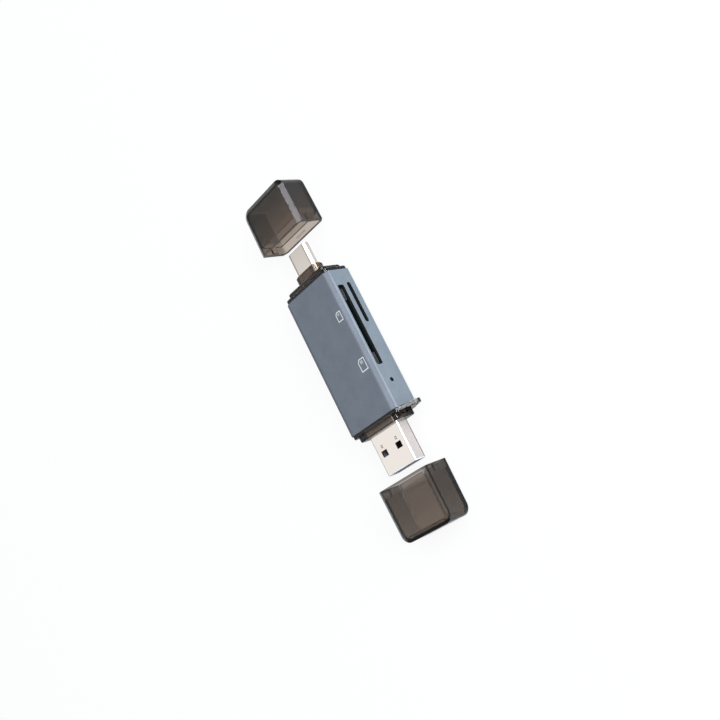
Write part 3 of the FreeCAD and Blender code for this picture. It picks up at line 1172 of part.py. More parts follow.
regulator = make_body("voltage_regulator")
package = make_sketch(regulator, "RegulatorOutline", "XY_Plane", "regulator_low")
add_rectangle(package, "regulator_length", "regulator_width", "regulator_x", "regulator_y")
pad(regulator, package, "regulator_height", "RegulatorBlock")

leads = make_body("regulator_leads")
front_lead = make_sketch(leads, "FrontLead", "XY_Plane", "board_top")
add_rectangle(front_lead, "lead_width", "lead_length", "lead_first_x", "lead_front_y")
first_lead = pad(leads, front_lead, "lead_gauge", "FrontLeadBlock")
repeat(leads, first_lead, "X_Axis", "lead_span", "lead_front_count", "FrontLeadRow")
back_lead = make_sketch(leads, "BackLead", "XY_Plane", "board_top")
add_rectangle(back_lead, "lead_width", "lead_length", "lead_first_x", "lead_back_y")
second_lead = pad(leads, back_lead, "lead_gauge", "BackLeadBlock")
repeat(leads, second_lead, "X_Axis", "lead_span", "lead_back_count", "BackLeadRow")

# small two-ended parts: capacitors and resistors, each side of the board
for kind, count in (("capacitor", 6), ("resistor", 4)):
    for number in range(1, count + 1):
        label = f"{kind}_{number}"
        part = make_body(label)
        below = size(f"{label}_side") < 0
        level = f"{kind}_below" if below else "board_top"
        chip_outline = make_sketch(part, f"Outline{kind}{number}", "XY_Plane", level)
        add_rectangle(chip_outline, f"{kind}_length", f"{kind}_width", f"{label}_x", f"{label}_y")
        pad(part, chip_outline, f"{kind}_height", f"Block{kind}{number}")

# status light and the clear guide that carries it to the sleeve
led = make_body("status_led")
led_outline = make_sketch(led, "LedOutline", "XY_Plane", "board_top")
add_rectangle(led_outline, "led_length", "led_depth", "light_x", "led_y")
pad(led, led_outline, "led_height", "LedBlock")

guide = make_body("light_guide")
rod = make_sketch(guide, "GuideRod", "XZ_Plane", "light_guide_back")
add_circle(rod, "light_guide", "light_x", "light_z")
pad(guide, rod, "light_guide_length", "GuideRodPad")
collar_disc = make_sketch(guide, "GuideFlange", "XZ_Plane", "light_flange_back")
add_circle(collar_disc, "light_guide_flange", "light_x", "light_z")
pad(guide, collar_disc, "light_flange_depth", "GuideFlangePad")


def add_cap_outline(sketch, mouth, outer, end_width):
    """Cap seen from above: straight mouth, sides drawn in by the draft, two round outer corners."""
    m, o = size(mouth), size(outer)
    toward = 1 if o > m else -1
    a, b, r = size("cap_width") / 2, size(end_width) / 2, size("cap_corner_radius")
    side_end = o - toward * r
    turn = 1.5707963267948966
    low_turn, high_turn = (-1, 0) if toward > 0 else (2, 1)
    rim = sketch.addGeometry(Part.LineSegment(FreeCAD.Vector(m, a), FreeCAD.Vector(m, -a)))
    near = sketch.addGeometry(Part.LineSegment(FreeCAD.Vector(m, -a), FreeCAD.Vector(side_end, -b)))
    low_arc = sketch.addGeometry(Part.ArcOfCircle(
        Part.Circle(FreeCAD.Vector(side_end, -b + r), FreeCAD.Vector(0, 0, 1), r),
        turn * low_turn, turn * (low_turn + 1)))
    end = sketch.addGeometry(Part.LineSegment(FreeCAD.Vector(o, -b + r), FreeCAD.Vector(o, b - r)))
    high_arc = sketch.addGeometry(Part.ArcOfCircle(
        Part.Circle(FreeCAD.Vector(side_end, b - r), FreeCAD.Vector(0, 0, 1), r),
        turn * high_turn, turn * (high_turn + 1)))
    far = sketch.addGeometry(Part.LineSegment(FreeCAD.Vector(side_end, b), FreeCAD.Vector(m, a)))
    low_corner = sketch.addGeometry(Part.Point(FreeCAD.Vector(o, -b)), True)
    high_corner = sketch.addGeometry(Part.Point(FreeCAD.Vector(o, b)), True)
    # arcs run anticlockwise, so on a cap that points the other way their two ends swap
    first, last = (1, 2) if toward > 0 else (2, 1)
    sketch.addConstraint(Sketcher.Constraint("Coincident", rim, 2, near, 1))
    sketch.addConstraint(Sketcher.Constraint("Coincident", far, 2, rim, 1))
    sketch.addConstraint(Sketcher.Constraint("Vertical", end))
    sketch.addConstraint(Sketcher.Constraint("Tangent", near, 2, low_arc, first))
    sketch.addConstraint(Sketcher.Constraint("Tangent", low_arc, last, end, 1))
    sketch.addConstraint(Sketcher.Constraint("Tangent", end, 2, high_arc, first))
    sketch.addConstraint(Sketcher.Constraint("Tangent", high_arc, last, far, 1))
    sketch.addConstraint(Sketcher.Constraint("Equal", low_arc, high_arc))
    sketch.addConstraint(Sketcher.Constraint("Symmetric", rim, 1, rim, 2, -1))
    sketch.addConstraint(Sketcher.Constraint("PointOnObject", low_corner, 1, near))
    sketch.addConstraint(Sketcher.Constraint("PointOnObject", low_corner, 1, end))
    sketch.addConstraint(Sketcher.Constraint("PointOnObject", high_corner, 1, far))
    sketch.addConstraint(Sketcher.Constraint("Symmetric", low_corner, 1, high_corner, 1, -1))
    drive(sketch, "Radius", low_arc, "cap_corner_radius")
    drive(sketch, "DistanceX", -1, 1, rim, 1, mouth)
    drive(sketch, "DistanceX", -1, 1, end, 1, outer)
    drive(sketch, "DistanceY", rim, 2, rim, 1, "cap_width")
    drive(sketch, "DistanceY", low_corner, 1, high_corner, 1, end_width)


def make_cap(end, mouth, outer, step, key_x, toward):
    """Hollow cap with a fitted mouth, two guide ribs and one keying rib; toward is +1 along X."""
    cap = make_body(f"type_{end}_cap")
    tag = end.upper()
    plan = make_sketch(cap, "CapPlan" + tag, "XY_Plane", "-cap_half_thickness")
    add_cap_outline(plan, mouth, outer, "cap_end_width_" + end)
    pad(cap, plan, "cap_thickness", "CapBlock" + tag)
    mouth_x = size(mouth)
    face_z = size("cap_half_thickness")
    face_edges = edges_where(cap.Tip, lambda e: not all_at(e, "x", mouth_x)
                             and (all_at(e, "z", face_z) or all_at(e, "z", -face_z)))
    bevel(cap, face_edges, "edge_bevel_down", "edge_bevel_in", "CapEdgeBevel" + tag)
    flat = max((face for face in cap.Tip.Shape.Faces if abs(face.CenterOfMass.z - face_z) < 1e-3),
               key=lambda face: face.Area)
    if flat.BoundBox.YLength > size("cap_width") - 1.9 * size("edge_bevel_in"):
        raise RuntimeError("the bevel's two sizes lie on the wrong faces")
    rim = make_sketch(cap, "CapRim" + tag, "YZ_Plane", mouth)
    add_rectangle(rim, "cap_rim_width", "cap_rim_height")
    pocket(cap, rim, "cap_rim_depth", "CapRimCut" + tag, forward=toward > 0)
    step_x = size(step)
    dress(cap, "Fillet", edges_where(cap.Tip, lambda e: runs_along(e, "x") and e.Length > 1
                                     and abs(e.Length - size("cap_rim_depth")) < 1e-3),
          "cap_rim_corner", "CapRimCorner" + tag)
    space = make_sketch(cap, "CapSpace" + tag, "YZ_Plane", mouth)
    add_rectangle(space, "cap_hollow_width", "cap_hollow_height")
    pocket(cap, space, "cap_hollow_depth_" + end, "CapSpaceCut" + tag, forward=toward > 0)
    floor_x = mouth_x + toward * size("cap_hollow_depth_" + end)
    dress(cap, "Fillet", edges_where(cap.Tip, lambda e: runs_along(e, "z")
                                     and all_at(e, "x", floor_x)),
          "cap_inner_corner", "CapInnerCorner" + tag)
    limit = size("cap_hollow_height") / 2
    inner_edges = edges_where(cap.Tip, lambda e: abs(abs(e.CenterOfMass.z) - limit) < 1e-3
                              and e.BoundBox.ZLength < 1e-3 and not all_at(e, "x", step_x))
    dress(cap, "Chamfer", inner_edges, "cap_inner_break", "CapInnerBreak" + tag)
    ribs = make_sketch(cap, "CapRibs" + tag, "YZ_Plane", step)
    add_rectangle(ribs, "cap_rib_width", "cap_rib_height", "cap_rib_y")
    add_rectangle(ribs, "cap_rib_width", "cap_rib_height", "-cap_rib_y")
    pad(cap, ribs, "cap_rib_depth", "CapRibPair" + tag, backward=toward > 0)
    key = make_sketch(cap, "CapKey" + tag, "XY_Plane", "key_low")
    add_rectangle(key, "key_depth", "key_width", key_x)
    pad(cap, key, "key_rise", "CapKeyRib" + tag)


make_cap("c", "cap_mouth_c", "cap_outer_c", "cap_step_c", "key_x_c", 1)
make_cap("a", "-cap_mouth_a", "-cap_outer_a", "-cap_step_a", "-key_x_a", -1)

doc.recompute()
for item in doc.Objects:
    if "Invalid" in item.State or "Error" in item.State:
        raise RuntimeError(f"{item.Label} is in error")
for item in doc.Objects:
    if item.TypeId != "PartDesign::Body":
        continue
    shape = item.Shape
    if shape.isNull() or not shape.isValid() or shape.Volume <= 0:
        raise RuntimeError(f"{item.Label} has no sound solid")
    shape.exportStep(f"parts/{item.Label}.step")
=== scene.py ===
"""Looks of a card reader with a flat plug, an oval plug and two smoky pull-off caps."""
import math
import bpy
from mathutils import Matrix, Vector


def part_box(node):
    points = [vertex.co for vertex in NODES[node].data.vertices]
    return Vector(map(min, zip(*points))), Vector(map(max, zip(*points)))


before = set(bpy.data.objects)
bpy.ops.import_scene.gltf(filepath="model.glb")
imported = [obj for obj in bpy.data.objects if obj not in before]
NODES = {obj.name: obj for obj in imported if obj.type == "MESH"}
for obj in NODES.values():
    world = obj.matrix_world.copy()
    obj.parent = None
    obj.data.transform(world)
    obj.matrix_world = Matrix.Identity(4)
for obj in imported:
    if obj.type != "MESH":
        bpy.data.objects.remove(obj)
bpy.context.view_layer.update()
MM = 0.001
DIAGONAL = 0.7071


def new_group(name, inputs, outputs):
    """Shader node group with named sockets; inputs are (name, kind, default)."""
    group = bpy.data.node_groups.new(name, "ShaderNodeTree")
    for label, kind, default in inputs:
        socket = group.interface.new_socket(label, in_out="INPUT", socket_type=kind)
        if default is not None:
            socket.default_value = default
    for label, kind in outputs:
        group.interface.new_socket(label, in_out="OUTPUT", socket_type=kind)
    return group, group.nodes.new("NodeGroupInput"), group.nodes.new("NodeGroupOutput")


def math_node(tree, operation, first, second=None, third=None):
    """Math node whose inputs are sockets or plain numbers."""
    node = tree.nodes.new("ShaderNodeMath")
    node.operation = operation
    for slot, value in enumerate((first, second, third)):
        if value is None:
            continue
        if isinstance(value, (int, float)):
            node.inputs[slot].default_value = value
        else:
            tree.links.new(value, node.inputs[slot])
    return node.outputs[0]


def mapped(tree, scale):
    """Object coordinates stretched by a scale on each axis."""
    coordinates = tree.nodes.new("ShaderNodeTexCoord")
    mapping = tree.nodes.new("ShaderNodeMapping")
    mapping.inputs["Scale"].default_value = scale
    tree.links.new(coordinates.outputs["Object"], mapping.inputs["Vector"])
    return mapping.outputs["Vector"]


def ramp_up(tree, value, low, high):
    """Soft step of a value: 0 below low, 1 above high."""
    node = tree.nodes.new("ShaderNodeMapRange")
    node.interpolation_type = "SMOOTHSTEP"
    node.inputs["From Min"].default_value = low
    node.inputs["From Max"].default_value = high
    tree.links.new(value, node.inputs["Value"])
    return node.outputs["Result"]


def blend(tree, mask, first, second, mode="MIX"):
    """Colour mix; first and second are sockets or plain colours."""
    node = tree.nodes.new("ShaderNodeMix")
    node.data_type = "RGBA"
    node.blend_type = mode
    for label, value in (("Factor", mask), ("A", first), ("B", second)):
        if isinstance(value, tuple):
            node.inputs[label].default_value = (*value, 1.0)
        elif isinstance(value, (int, float)):
            node.inputs[label].default_value = value
        else:
            tree.links.new(value, node.inputs[label])
    return node.outputs["Result"]


def build_grain_group():
    """Fine all-over grain: colour factor, roughness and bumped normal from one pair of noises."""
    group, inside, outside = new_group("fine_grain", [
        ("Vector", "NodeSocketVector", None), ("Grain Scale", "NodeSocketFloat", 6000.0),
        ("Cloud Scale", "NodeSocketFloat", 120.0), ("Colour Change", "NodeSocketFloat", 0.05),
        ("Roughness", "NodeSocketFloat", 0.4), ("Roughness Change", "NodeSocketFloat", 0.06),
        ("Bump Strength", "NodeSocketFloat", 0.1), ("Bump Depth", "NodeSocketFloat", 0.00001)],
        [("Shade", "NodeSocketFloat"), ("Roughness", "NodeSocketFloat"), ("Normal", "NodeSocketVector")])
    fine = group.nodes.new("ShaderNodeTexNoise")
    fine.inputs["Detail"].default_value = 3.0
    cloud = group.nodes.new("ShaderNodeTexNoise")
    cloud.inputs["Detail"].default_value = 2.0
    for node, scale in ((fine, "Grain Scale"), (cloud, "Cloud Scale")):
        group.links.new(inside.outputs["Vector"], node.inputs["Vector"])
        group.links.new(inside.outputs[scale], node.inputs["Scale"])
    both = math_node(group, "ADD", math_node(group, "MULTIPLY", fine.outputs["Fac"], 0.6),
                     math_node(group, "MULTIPLY", cloud.outputs["Fac"], 0.4))
    centred = math_node(group, "SUBTRACT", both, 0.5)
    shade = math_node(group, "MULTIPLY_ADD", centred, inside.outputs["Colour Change"], 1.0)
    rough = math_node(group, "MULTIPLY_ADD", centred, inside.outputs["Roughness Change"],
                      inside.outputs["Roughness"])
    bump = group.nodes.new("ShaderNodeBump")
    group.links.new(inside.outputs["Bump Strength"], bump.inputs["Strength"])
    group.links.new(inside.outputs["Bump Depth"], bump.inputs["Distance"])
    group.links.new(fine.outputs["Fac"], bump.inputs["Height"])
    group.links.new(shade, outside.inputs["Shade"])
    group.links.new(rough, outside.inputs["Roughness"])
    group.links.new(bump.outputs["Normal"], outside.inputs["Normal"])
    return group


# bars on a card mark: half of a bar's share of the pitch, gaps to the card's side and end as multiples of
# its line, and how far the bars reach back, as a share of the card's length
BAR_HALF_SHARE = 0.24
BAR_SIDE_GAP = 2.4
BAR_END_GAP = 1.9
BAR_REACH = 0.42


def build_card_mark_group():
    """Flat mark in the shape of a card with one cut corner: its outline and a row of short bars."""
    group, inside, outside = new_group("card_mark", [
        ("Vector", "NodeSocketVector", None), ("Middle X", "NodeSocketFloat", 0.0),
        ("Middle Y", "NodeSocketFloat", 0.0), ("Level", "NodeSocketFloat", 0.0),
        ("Length", "NodeSocketFloat", 0.003), ("Width", "NodeSocketFloat", 0.002),
        ("Corner Cut", "NodeSocketFloat", 0.0005), ("Line", "NodeSocketFloat", 0.00022),
        ("Bar Pitch", "NodeSocketFloat", 0.0004), ("Bars", "NodeSocketFloat", 1.0),
        ("Softness", "NodeSocketFloat", 0.00004)],
        [("Mask", "NodeSocketFloat")])
    port = inside.outputs
    split = group.nodes.new("ShaderNodeSeparateXYZ")
    group.links.new(port["Vector"], split.inputs["Vector"])
    along = math_node(group, "SUBTRACT", split.outputs["X"], port["Middle X"])
    across = math_node(group, "SUBTRACT", split.outputs["Y"], port["Middle Y"])
    half_length = math_node(group, "MULTIPLY", port["Length"], 0.5)
    half_width = math_node(group, "MULTIPLY", port["Width"], 0.5)
    past_end = math_node(group, "SUBTRACT", math_node(group, "ABSOLUTE", along), half_length)
    past_side = math_node(group, "SUBTRACT", math_node(group, "ABSOLUTE", across), half_width)
    # the cut corner lies towards +X and +Y
    corner = math_node(group, "ADD", math_node(group, "ADD", along, across), port["Corner Cut"])
    corner = math_node(group, "SUBTRACT", math_node(group, "SUBTRACT", corner, half_length), half_width)
    past_corner = math_node(group, "MULTIPLY", corner, DIAGONAL)
    reach = math_node(group, "MAXIMUM", math_node(group, "MAXIMUM", past_end, past_side), past_corner)
    # the line lies just inside the card's edge, and off_line is the distance from its middle
    half_line = math_node(group, "MULTIPLY", port["Line"], 0.5)
    off_line = math_node(group, "ABSOLUTE", math_node(group, "ADD", reach, half_line))
    outline = math_node(group, "DIVIDE", math_node(group, "SUBTRACT", half_line, off_line), port["Softness"])
    # short bars lie side by side along X, near the card's +X end
    bar = math_node(group, "ABSOLUTE", math_node(group, "SUBTRACT", math_node(
        group, "FRACT", math_node(group, "DIVIDE", across, port["Bar Pitch"])), 0.5))
    bar = math_node(group, "MULTIPLY", math_node(group, "SUBTRACT", BAR_HALF_SHARE, bar), port["Bar Pitch"])
    bar = math_node(group, "DIVIDE", bar, port["Softness"])
    side_gap = math_node(group, "MULTIPLY", port["Line"], -BAR_SIDE_GAP)
    end_gap = math_node(group, "MULTIPLY", port["Line"], -BAR_END_GAP)
    inner_side = math_node(group, "SUBTRACT", side_gap, past_side)
    bar_far = math_node(group, "SUBTRACT", end_gap, past_end)
    bar_near = math_node(group, "ADD", past_end, math_node(group, "MULTIPLY", port["Length"], BAR_REACH))
    window = math_node(group, "MINIMUM", math_node(group, "MINIMUM", inner_side, bar_far), bar_near)
    window = math_node(group, "DIVIDE", math_node(group, "MINIMUM", window, along), port["Softness"])
    bars = math_node(group, "MULTIPLY", math_node(group, "MINIMUM", bar, window), port["Bars"])
    drawn = math_node(group, "MAXIMUM", outline, bars)
    drawn = math_node(group, "MINIMUM", math_node(group, "MAXIMUM", drawn, 0.0), 1.0)
    on_face = math_node(group, "GREATER_THAN", split.outputs["Z"], port["Level"])
    group.links.new(math_node(group, "MULTIPLY", drawn, on_face), outside.inputs["Mask"])
    return group


def build_slot_rim_group():
    """Mask of a round-ended slot, or of a hole when its half length is 0, on the face towards -Y."""
    group, inside, outside = new_group("slot_rim", [
        ("Vector", "NodeSocketVector", None), ("Middle X", "NodeSocketFloat", 0.0),
        ("Middle Z", "NodeSocketFloat", 0.0), ("Half Length", "NodeSocketFloat", 0.0),
        ("Radius", "NodeSocketFloat", 0.0005), ("Face Y", "NodeSocketFloat", 0.0)],
        [("Mask", "NodeSocketFloat")])
    port = inside.outputs
    split = group.nodes.new("ShaderNodeSeparateXYZ")
    group.links.new(port["Vector"], split.inputs["Vector"])
    along = math_node(group, "ABSOLUTE", math_node(group, "SUBTRACT", split.outputs["X"], port["Middle X"]))
    straight = math_node(group, "SUBTRACT", port["Half Length"], port["Radius"])
    past = math_node(group, "MAXIMUM", math_node(group, "SUBTRACT", along, math_node(
        group, "MAXIMUM", straight, 0.0)), 0.0)
    height = math_node(group, "SUBTRACT", split.outputs["Z"], port["Middle Z"])
    reach = math_node(group, "SQRT", math_node(group, "ADD", math_node(group, "MULTIPLY", past, past),
                                               math_node(group, "MULTIPLY", height, height)))
    within = math_node(group, "LESS_THAN", reach, port["Radius"])
    on_face = math_node(group, "LESS_THAN", split.outputs["Y"], port["Face Y"])
    group.links.new(math_node(group, "MULTIPLY", within, on_face), outside.inputs["Mask"])
    return group


GRAIN = build_grain_group()
SLOT_RIM = build_slot_rim_group()
CARD_MARK = build_card_mark_group()


def surface(name, colour, metallic=0.0, roughness=0.4, stretch=(1, 1, 1), grain=6000.0, cloud=120.0,
            colour_change=0.08, roughness_change=0.08, bump=0.1, depth=0.00001, **plain):
    """Material with the shared grain; plain sets further sockets of the Principled shader."""
    material = bpy.data.materials.new(name)
    material.use_nodes = True
    tree = material.node_tree
    shader = tree.nodes["Principled BSDF"]
    grain_node = tree.nodes.new("ShaderNodeGroup")
    grain_node.node_tree = GRAIN
    tree.links.new(mapped(tree, stretch), grain_node.inputs["Vector"])
    for label, value in (("Grain Scale", grain), ("Cloud Scale", cloud), ("Colour Change", colour_change),
                         ("Roughness", roughness), ("Roughness Change", roughness_change),
                         ("Bump Strength", bump), ("Bump Depth", depth)):
        grain_node.inputs[label].default_value = value
    tinted = blend(tree, 1.0, colour, grain_node.outputs["Shade"], "MULTIPLY")
    tree.links.new(tinted, shader.inputs["Base Color"])
    tree.links.new(grain_node.outputs["Roughness"], shader.inputs["Roughness"])
    tree.links.new(grain_node.outputs["Normal"], shader.inputs["Normal"])
    shader.inputs["Metallic"].default_value = metallic
    for label, value in plain.items():
        shader.inputs[label.replace("_", " ")].default_value = value
    return material


def smoky(name, colour, density, roughness, lamp_tint):
    """Clear tinted plastic: polished surface, a body that takes light with its thickness, and lamp
    rays that pass straight through, dimmed."""
    material = surface(name, (1.0, 1.0, 1.0), roughness=roughness, grain=900.0, cloud=150.0,
                       roughness_change=0.04, bump=0.02, Transmission_Weight=1.0, IOR=1.44)
    tree = material.node_tree
    shader = tree.nodes["Principled BSDF"]
    tree.nodes.remove(shader.inputs["Base Color"].links[0].from_node)
    shader.inputs["Base Color"].default_value = (1.0, 1.0, 1.0, 1.0)
    output = tree.nodes["Material Output"]
    body = tree.nodes.new("ShaderNodeVolumeAbsorption")
    body.inputs["Color"].default_value = (*colour, 1.0)
    body.inputs["Density"].default_value = density
    tree.links.new(body.outputs["Volume"], output.inputs["Volume"])
    path = tree.nodes.new("ShaderNodeLightPath")
    through = tree.nodes.new("ShaderNodeBsdfTransparent")
    through.inputs["Color"].default_value = (*lamp_tint, 1.0)
    mix = tree.nodes.new("ShaderNodeMixShader")
    tree.links.new(path.outputs["Is Shadow Ray"], mix.inputs[0])
    tree.links.new(shader.outputs["BSDF"], mix.inputs[1])
    tree.links.new(through.outputs["BSDF"], mix.inputs[2])
    tree.links.new(mix.outputs["Shader"], output.inputs["Surface"])
    return material


def colour_over(material, mask, colour):
    """Lay a colour over the material where the mask is 1."""
    tree = material.node_tree
    socket = tree.nodes["Principled BSDF"].inputs["Base Color"]
    tree.links.new(blend(tree, mask, socket.links[0].from_socket, colour), socket)


def raise_roughness(material, mask, amount):
    """Add to the roughness where the mask is 1."""
    tree = material.node_tree
    socket = tree.nodes["Principled BSDF"].inputs["Roughness"]
    tree.links.new(math_node(tree, "MULTIPLY_ADD", mask, amount, socket.links[0].from_socket), socket)


def placed_mask(material, group, **values):
    """Mask that a group draws on the material; values set the group's inputs."""
    tree = material.node_tree
    node = tree.nodes.new("ShaderNodeGroup")
    node.node_tree = group
    tree.links.new(mapped(tree, (1, 1, 1)), node.inputs["Vector"])
    for label, value in values.items():
        node.inputs[label.replace("_", " ")].default_value = value
    return node.outputs["Mask"]


def place_of(material):
    """Separate X, Y and Z of the object coordinates."""
    tree = material.node_tree
    split = tree.nodes.new("ShaderNodeSeparateXYZ")
    tree.links.new(mapped(tree, (1, 1, 1)), split.inputs["Vector"])
    return split.outputs


def off_middle(tree, place, axis, middle):
    """Distance from a middle plane along one axis."""
    return math_node(tree, "ABSOLUTE", math_node(tree, "SUBTRACT", place[axis], middle))


SLEEVE_LOW, SLEEVE_HIGH = (Vector(corner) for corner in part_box("housing_sleeve"))
SLEEVE_MIDDLE = (SLEEVE_LOW + SLEEVE_HIGH) / 2
SLEEVE_HALF = (SLEEVE_HIGH - SLEEVE_LOW) / 2
BEVEL_HEIGHT = 0.94 * MM
WHITE_PRINT = (0.72, 0.74, 0.76)
# painted shade that draws the relief of the stamped marks on the flat plug
STAMP_SHADE = (0.12, 0.10, 0.08)
# near-black painted shade for the slots' cut walls and the tube's inside
CUT_WALL_SHADE = (0.008, 0.013, 0.014)
# painted shade: near-black rims round the small slot and the light hole
RIM_SHADE = (0.004, 0.007, 0.009)
# painted shade: a fine dark line low on the plugs' narrow sides
LOW_SHADE_LINE = (0.09, 0.08, 0.075)
# painted light on the narrow sides, painted shade on the bevels, and a painted highlight as a fine line where
# they meet
SIDE_LIGHT = (1.24, 1.30, 1.28)
LINE_LIGHT = (1.14, 1.14, 1.14)
BEVEL_SHADE = (0.92, 0.92, 0.92)
LINE_HALF = 0.15 * MM
# outer layer left without painted shade, along X, Y and Z; what lies deeper, cut wall or bore, gets painted
# shade
UNSHADED_SKIN = (0.4 * MM, 0.05 * MM, 1.5 * MM)
PRINT_SKIN = 0.02 * MM
RIM_SKIN = 0.03 * MM
STAMP_LEVEL = 2.0 * MM
STAMP_STRENGTH = 0.9
# card marks, in mm: place from the sleeve's middle, length, width, cut corner, line and pitch of the bars
PRINTED_CARDS = ((8.6, -6.95, 2.9, 2.2, 0.65, 0.28, 0.44), (-6.6, -6.75, 3.7, 2.8, 0.8, 0.3, 0.52))
STAMPED_CARDS = ((-28.1, 3.05, 0.95, 0.8, 0.2, 0.22, 0.4), (-28.1, -3.05, 0.95, 0.8, 0.2, 0.22, 0.4))
# rims of painted shade round the small slot and the light hole, on the slots' side, in mm: place from the
# sleeve's middle, half length and radius
RIMS = ((10.78, -1.28, 6.46, 0.73), (-13.7, 0.83, 0.0, 0.65))


def card_marks(material, cards, level, bars):
    """Mask of two card marks on faces above a level."""
    first, second = (
        placed_mask(material, CARD_MARK, Middle_X=SLEEVE_MIDDLE.x + x * MM, Middle_Y=SLEEVE_MIDDLE.y + y * MM,
                    Level=level, Length=length * MM, Width=width * MM, Corner_Cut=cut * MM, Line=line * MM,
                    Bar_Pitch=pitch * MM, Bars=bars)
        for x, y, length, width, cut, line, pitch in cards)
    return math_node(material.node_tree, "MAXIMUM", first, second)


def print_sleeve(material):
    """White card marks on the broad face beside the two slots."""
    colour_over(material, card_marks(material, PRINTED_CARDS, SLEEVE_HIGH.z - PRINT_SKIN, 1.0), WHITE_PRINT)


def darken_cut_walls(material):
    """Painted shade: a near-black colour on the slots' cut walls and the tube's inside."""
    tree = material.node_tree
    place = place_of(material)
    inside = None
    for axis, middle, half, skin in zip("XYZ", SLEEVE_MIDDLE, SLEEVE_HALF, UNSHADED_SKIN):
        within = math_node(tree, "LESS_THAN", off_middle(tree, place, axis, middle), half - skin)
        inside = within if inside is None else math_node(tree, "MULTIPLY", inside, within)
    # painted shade on everything deeper than the outer layer
    colour_over(material, inside, CUT_WALL_SHADE)
    raise_roughness(material, inside, 0.25)


def shade_sides(material):
    """Painted light on the narrow sides, painted shade on the bevels with a painted highlight as a bright
    fine line where they meet the sides, and painted shade as dark rims of the small slot and the light hole."""
    tree = material.node_tree
    place = place_of(material)
    height = off_middle(tree, place, "Z", SLEEVE_MIDDLE.z)
    across = off_middle(tree, place, "Y", SLEEVE_MIDDLE.y)
    edge = SLEEVE_HALF.y
    bevel_foot = SLEEVE_HALF.z - BEVEL_HEIGHT
    # painted light: the narrow sides drawn lighter
    side = ramp_up(tree, across, edge - 0.10 * MM, edge - 0.02 * MM)
    bevel = math_node(tree, "MULTIPLY", ramp_up(tree, across, edge - 1.3 * MM, edge - 0.9 * MM),
                      ramp_up(tree, height, bevel_foot, bevel_foot + 0.1 * MM))
    socket = tree.nodes["Principled BSDF"].inputs["Base Color"]
    # painted shade on the bevels
    tinted = blend(tree, bevel, socket.links[0].from_socket, BEVEL_SHADE, "MULTIPLY")
    lighter = blend(tree, 1.0, tinted, SIDE_LIGHT, "MULTIPLY")
    tinted = blend(tree, side, tinted, lighter)
    # painted highlight: a fine bright line where the bevels meet the narrow sides
    off_line = math_node(tree, "ABSOLUTE", math_node(tree, "SUBTRACT", height, bevel_foot))
    line = math_node(tree, "MULTIPLY", math_node(tree, "LESS_THAN", off_line, LINE_HALF),
                     math_node(tree, "GREATER_THAN", across, edge - 0.4 * MM))
    lighter = blend(tree, 1.0, tinted, LINE_LIGHT, "MULTIPLY")
    tree.links.new(blend(tree, line, tinted, lighter), socket)
    # painted shade: near-black, metallic rims round the small slot and the light hole
    slot, hole = (
        placed_mask(material, SLOT_RIM, Middle_X=SLEEVE_MIDDLE.x + x * MM, Middle_Z=SLEEVE_MIDDLE.z + z * MM,
                    Half_Length=half_length * MM, Radius=radius * MM, Face_Y=SLEEVE_LOW.y + RIM_SKIN)
        for x, z, half_length, radius in RIMS)
    rims = math_node(tree, "MAXIMUM", slot, hole)
    colour_over(material, rims, RIM_SHADE)
    raise_roughness(material, rims, 0.25)
    metal = tree.nodes["Principled BSDF"].inputs["Metallic"]
    tree.links.new(math_node(tree, "MAXIMUM", rims, metal.default_value), metal)


anodised = surface("anodised_aluminium", (0.147, 0.171, 0.206), metallic=0.5, roughness=0.6,
                   grain=2600.0, cloud=260.0, colour_change=0.7, roughness_change=0.10, bump=0.25,
                   depth=0.000012)
shade_sides(anodised)
print_sleeve(anodised)
darken_cut_walls(anodised)


# depths in a cap from its mouth, where one painted shading fades into the next, and the depth of its rim of
# painted shade
BAND_FADE = (3.4 * MM, 4.6 * MM)
END_FADE = (7.0 * MM, 13.5 * MM)
LIP_FADE = (0.55 * MM, 0.8 * MM)
RIM_DEPTH = 0.14 * MM
# painted shade on a cap's mouth rim
CAP_RIM_SHADE = (0.45, 0.45, 0.46)
# distance from a cap's middle plane at which its narrow walls begin
WALL_FADE = (8.6 * MM, 8.9 * MM)


def cap_smoke(name, node, toward, band_shading, body_shading, end_shading, wall_shading, wall_mouth_shading, lip_shading):
    """Smoky plastic of one cap with painted light and shade by place: a band at the mouth, the body behind
    it, the closed end, darker narrow walls, the upper lip and a dark rim; toward is +1 for a cap that closes
    towards +X."""
    material = smoky(name, (0.375, 0.285, 0.20), 920.0, 0.05, (0.64, 0.59, 0.54))
    tree = material.node_tree
    low, high = (Vector(corner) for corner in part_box(node))
    place = place_of(material)
    mouth = low.x if toward > 0 else high.x
    depth = math_node(tree, "MULTIPLY", math_node(tree, "SUBTRACT", place["X"], mouth), toward)
    across = off_middle(tree, place, "Y", (low.y + high.y) / 2)
    behind_band = ramp_up(tree, depth, *BAND_FADE)
    painted_shading = blend(tree, behind_band, band_shading, body_shading)
    painted_shading = blend(tree, ramp_up(tree, depth, *END_FADE), painted_shading, end_shading)
    wall = blend(tree, behind_band, wall_mouth_shading, wall_shading)
    painted_shading = blend(tree, ramp_up(tree, across, *WALL_FADE), painted_shading, wall, "MULTIPLY")
    upper = math_node(tree, "GREATER_THAN", place["Z"], (low.z + high.z) / 2)
    past_lip = ramp_up(tree, depth, *LIP_FADE)
    lip = math_node(tree, "MULTIPLY", upper, math_node(tree, "SUBTRACT", 1.0, past_lip))
    painted_shading = blend(tree, lip, painted_shading, lip_shading, "MULTIPLY")
    rim = math_node(tree, "LESS_THAN", depth, RIM_DEPTH)
    painted_shading = blend(tree, rim, painted_shading, CAP_RIM_SHADE, "MULTIPLY")
    tree.links.new(painted_shading, tree.nodes["Principled BSDF"].inputs["Base Color"])
    return material


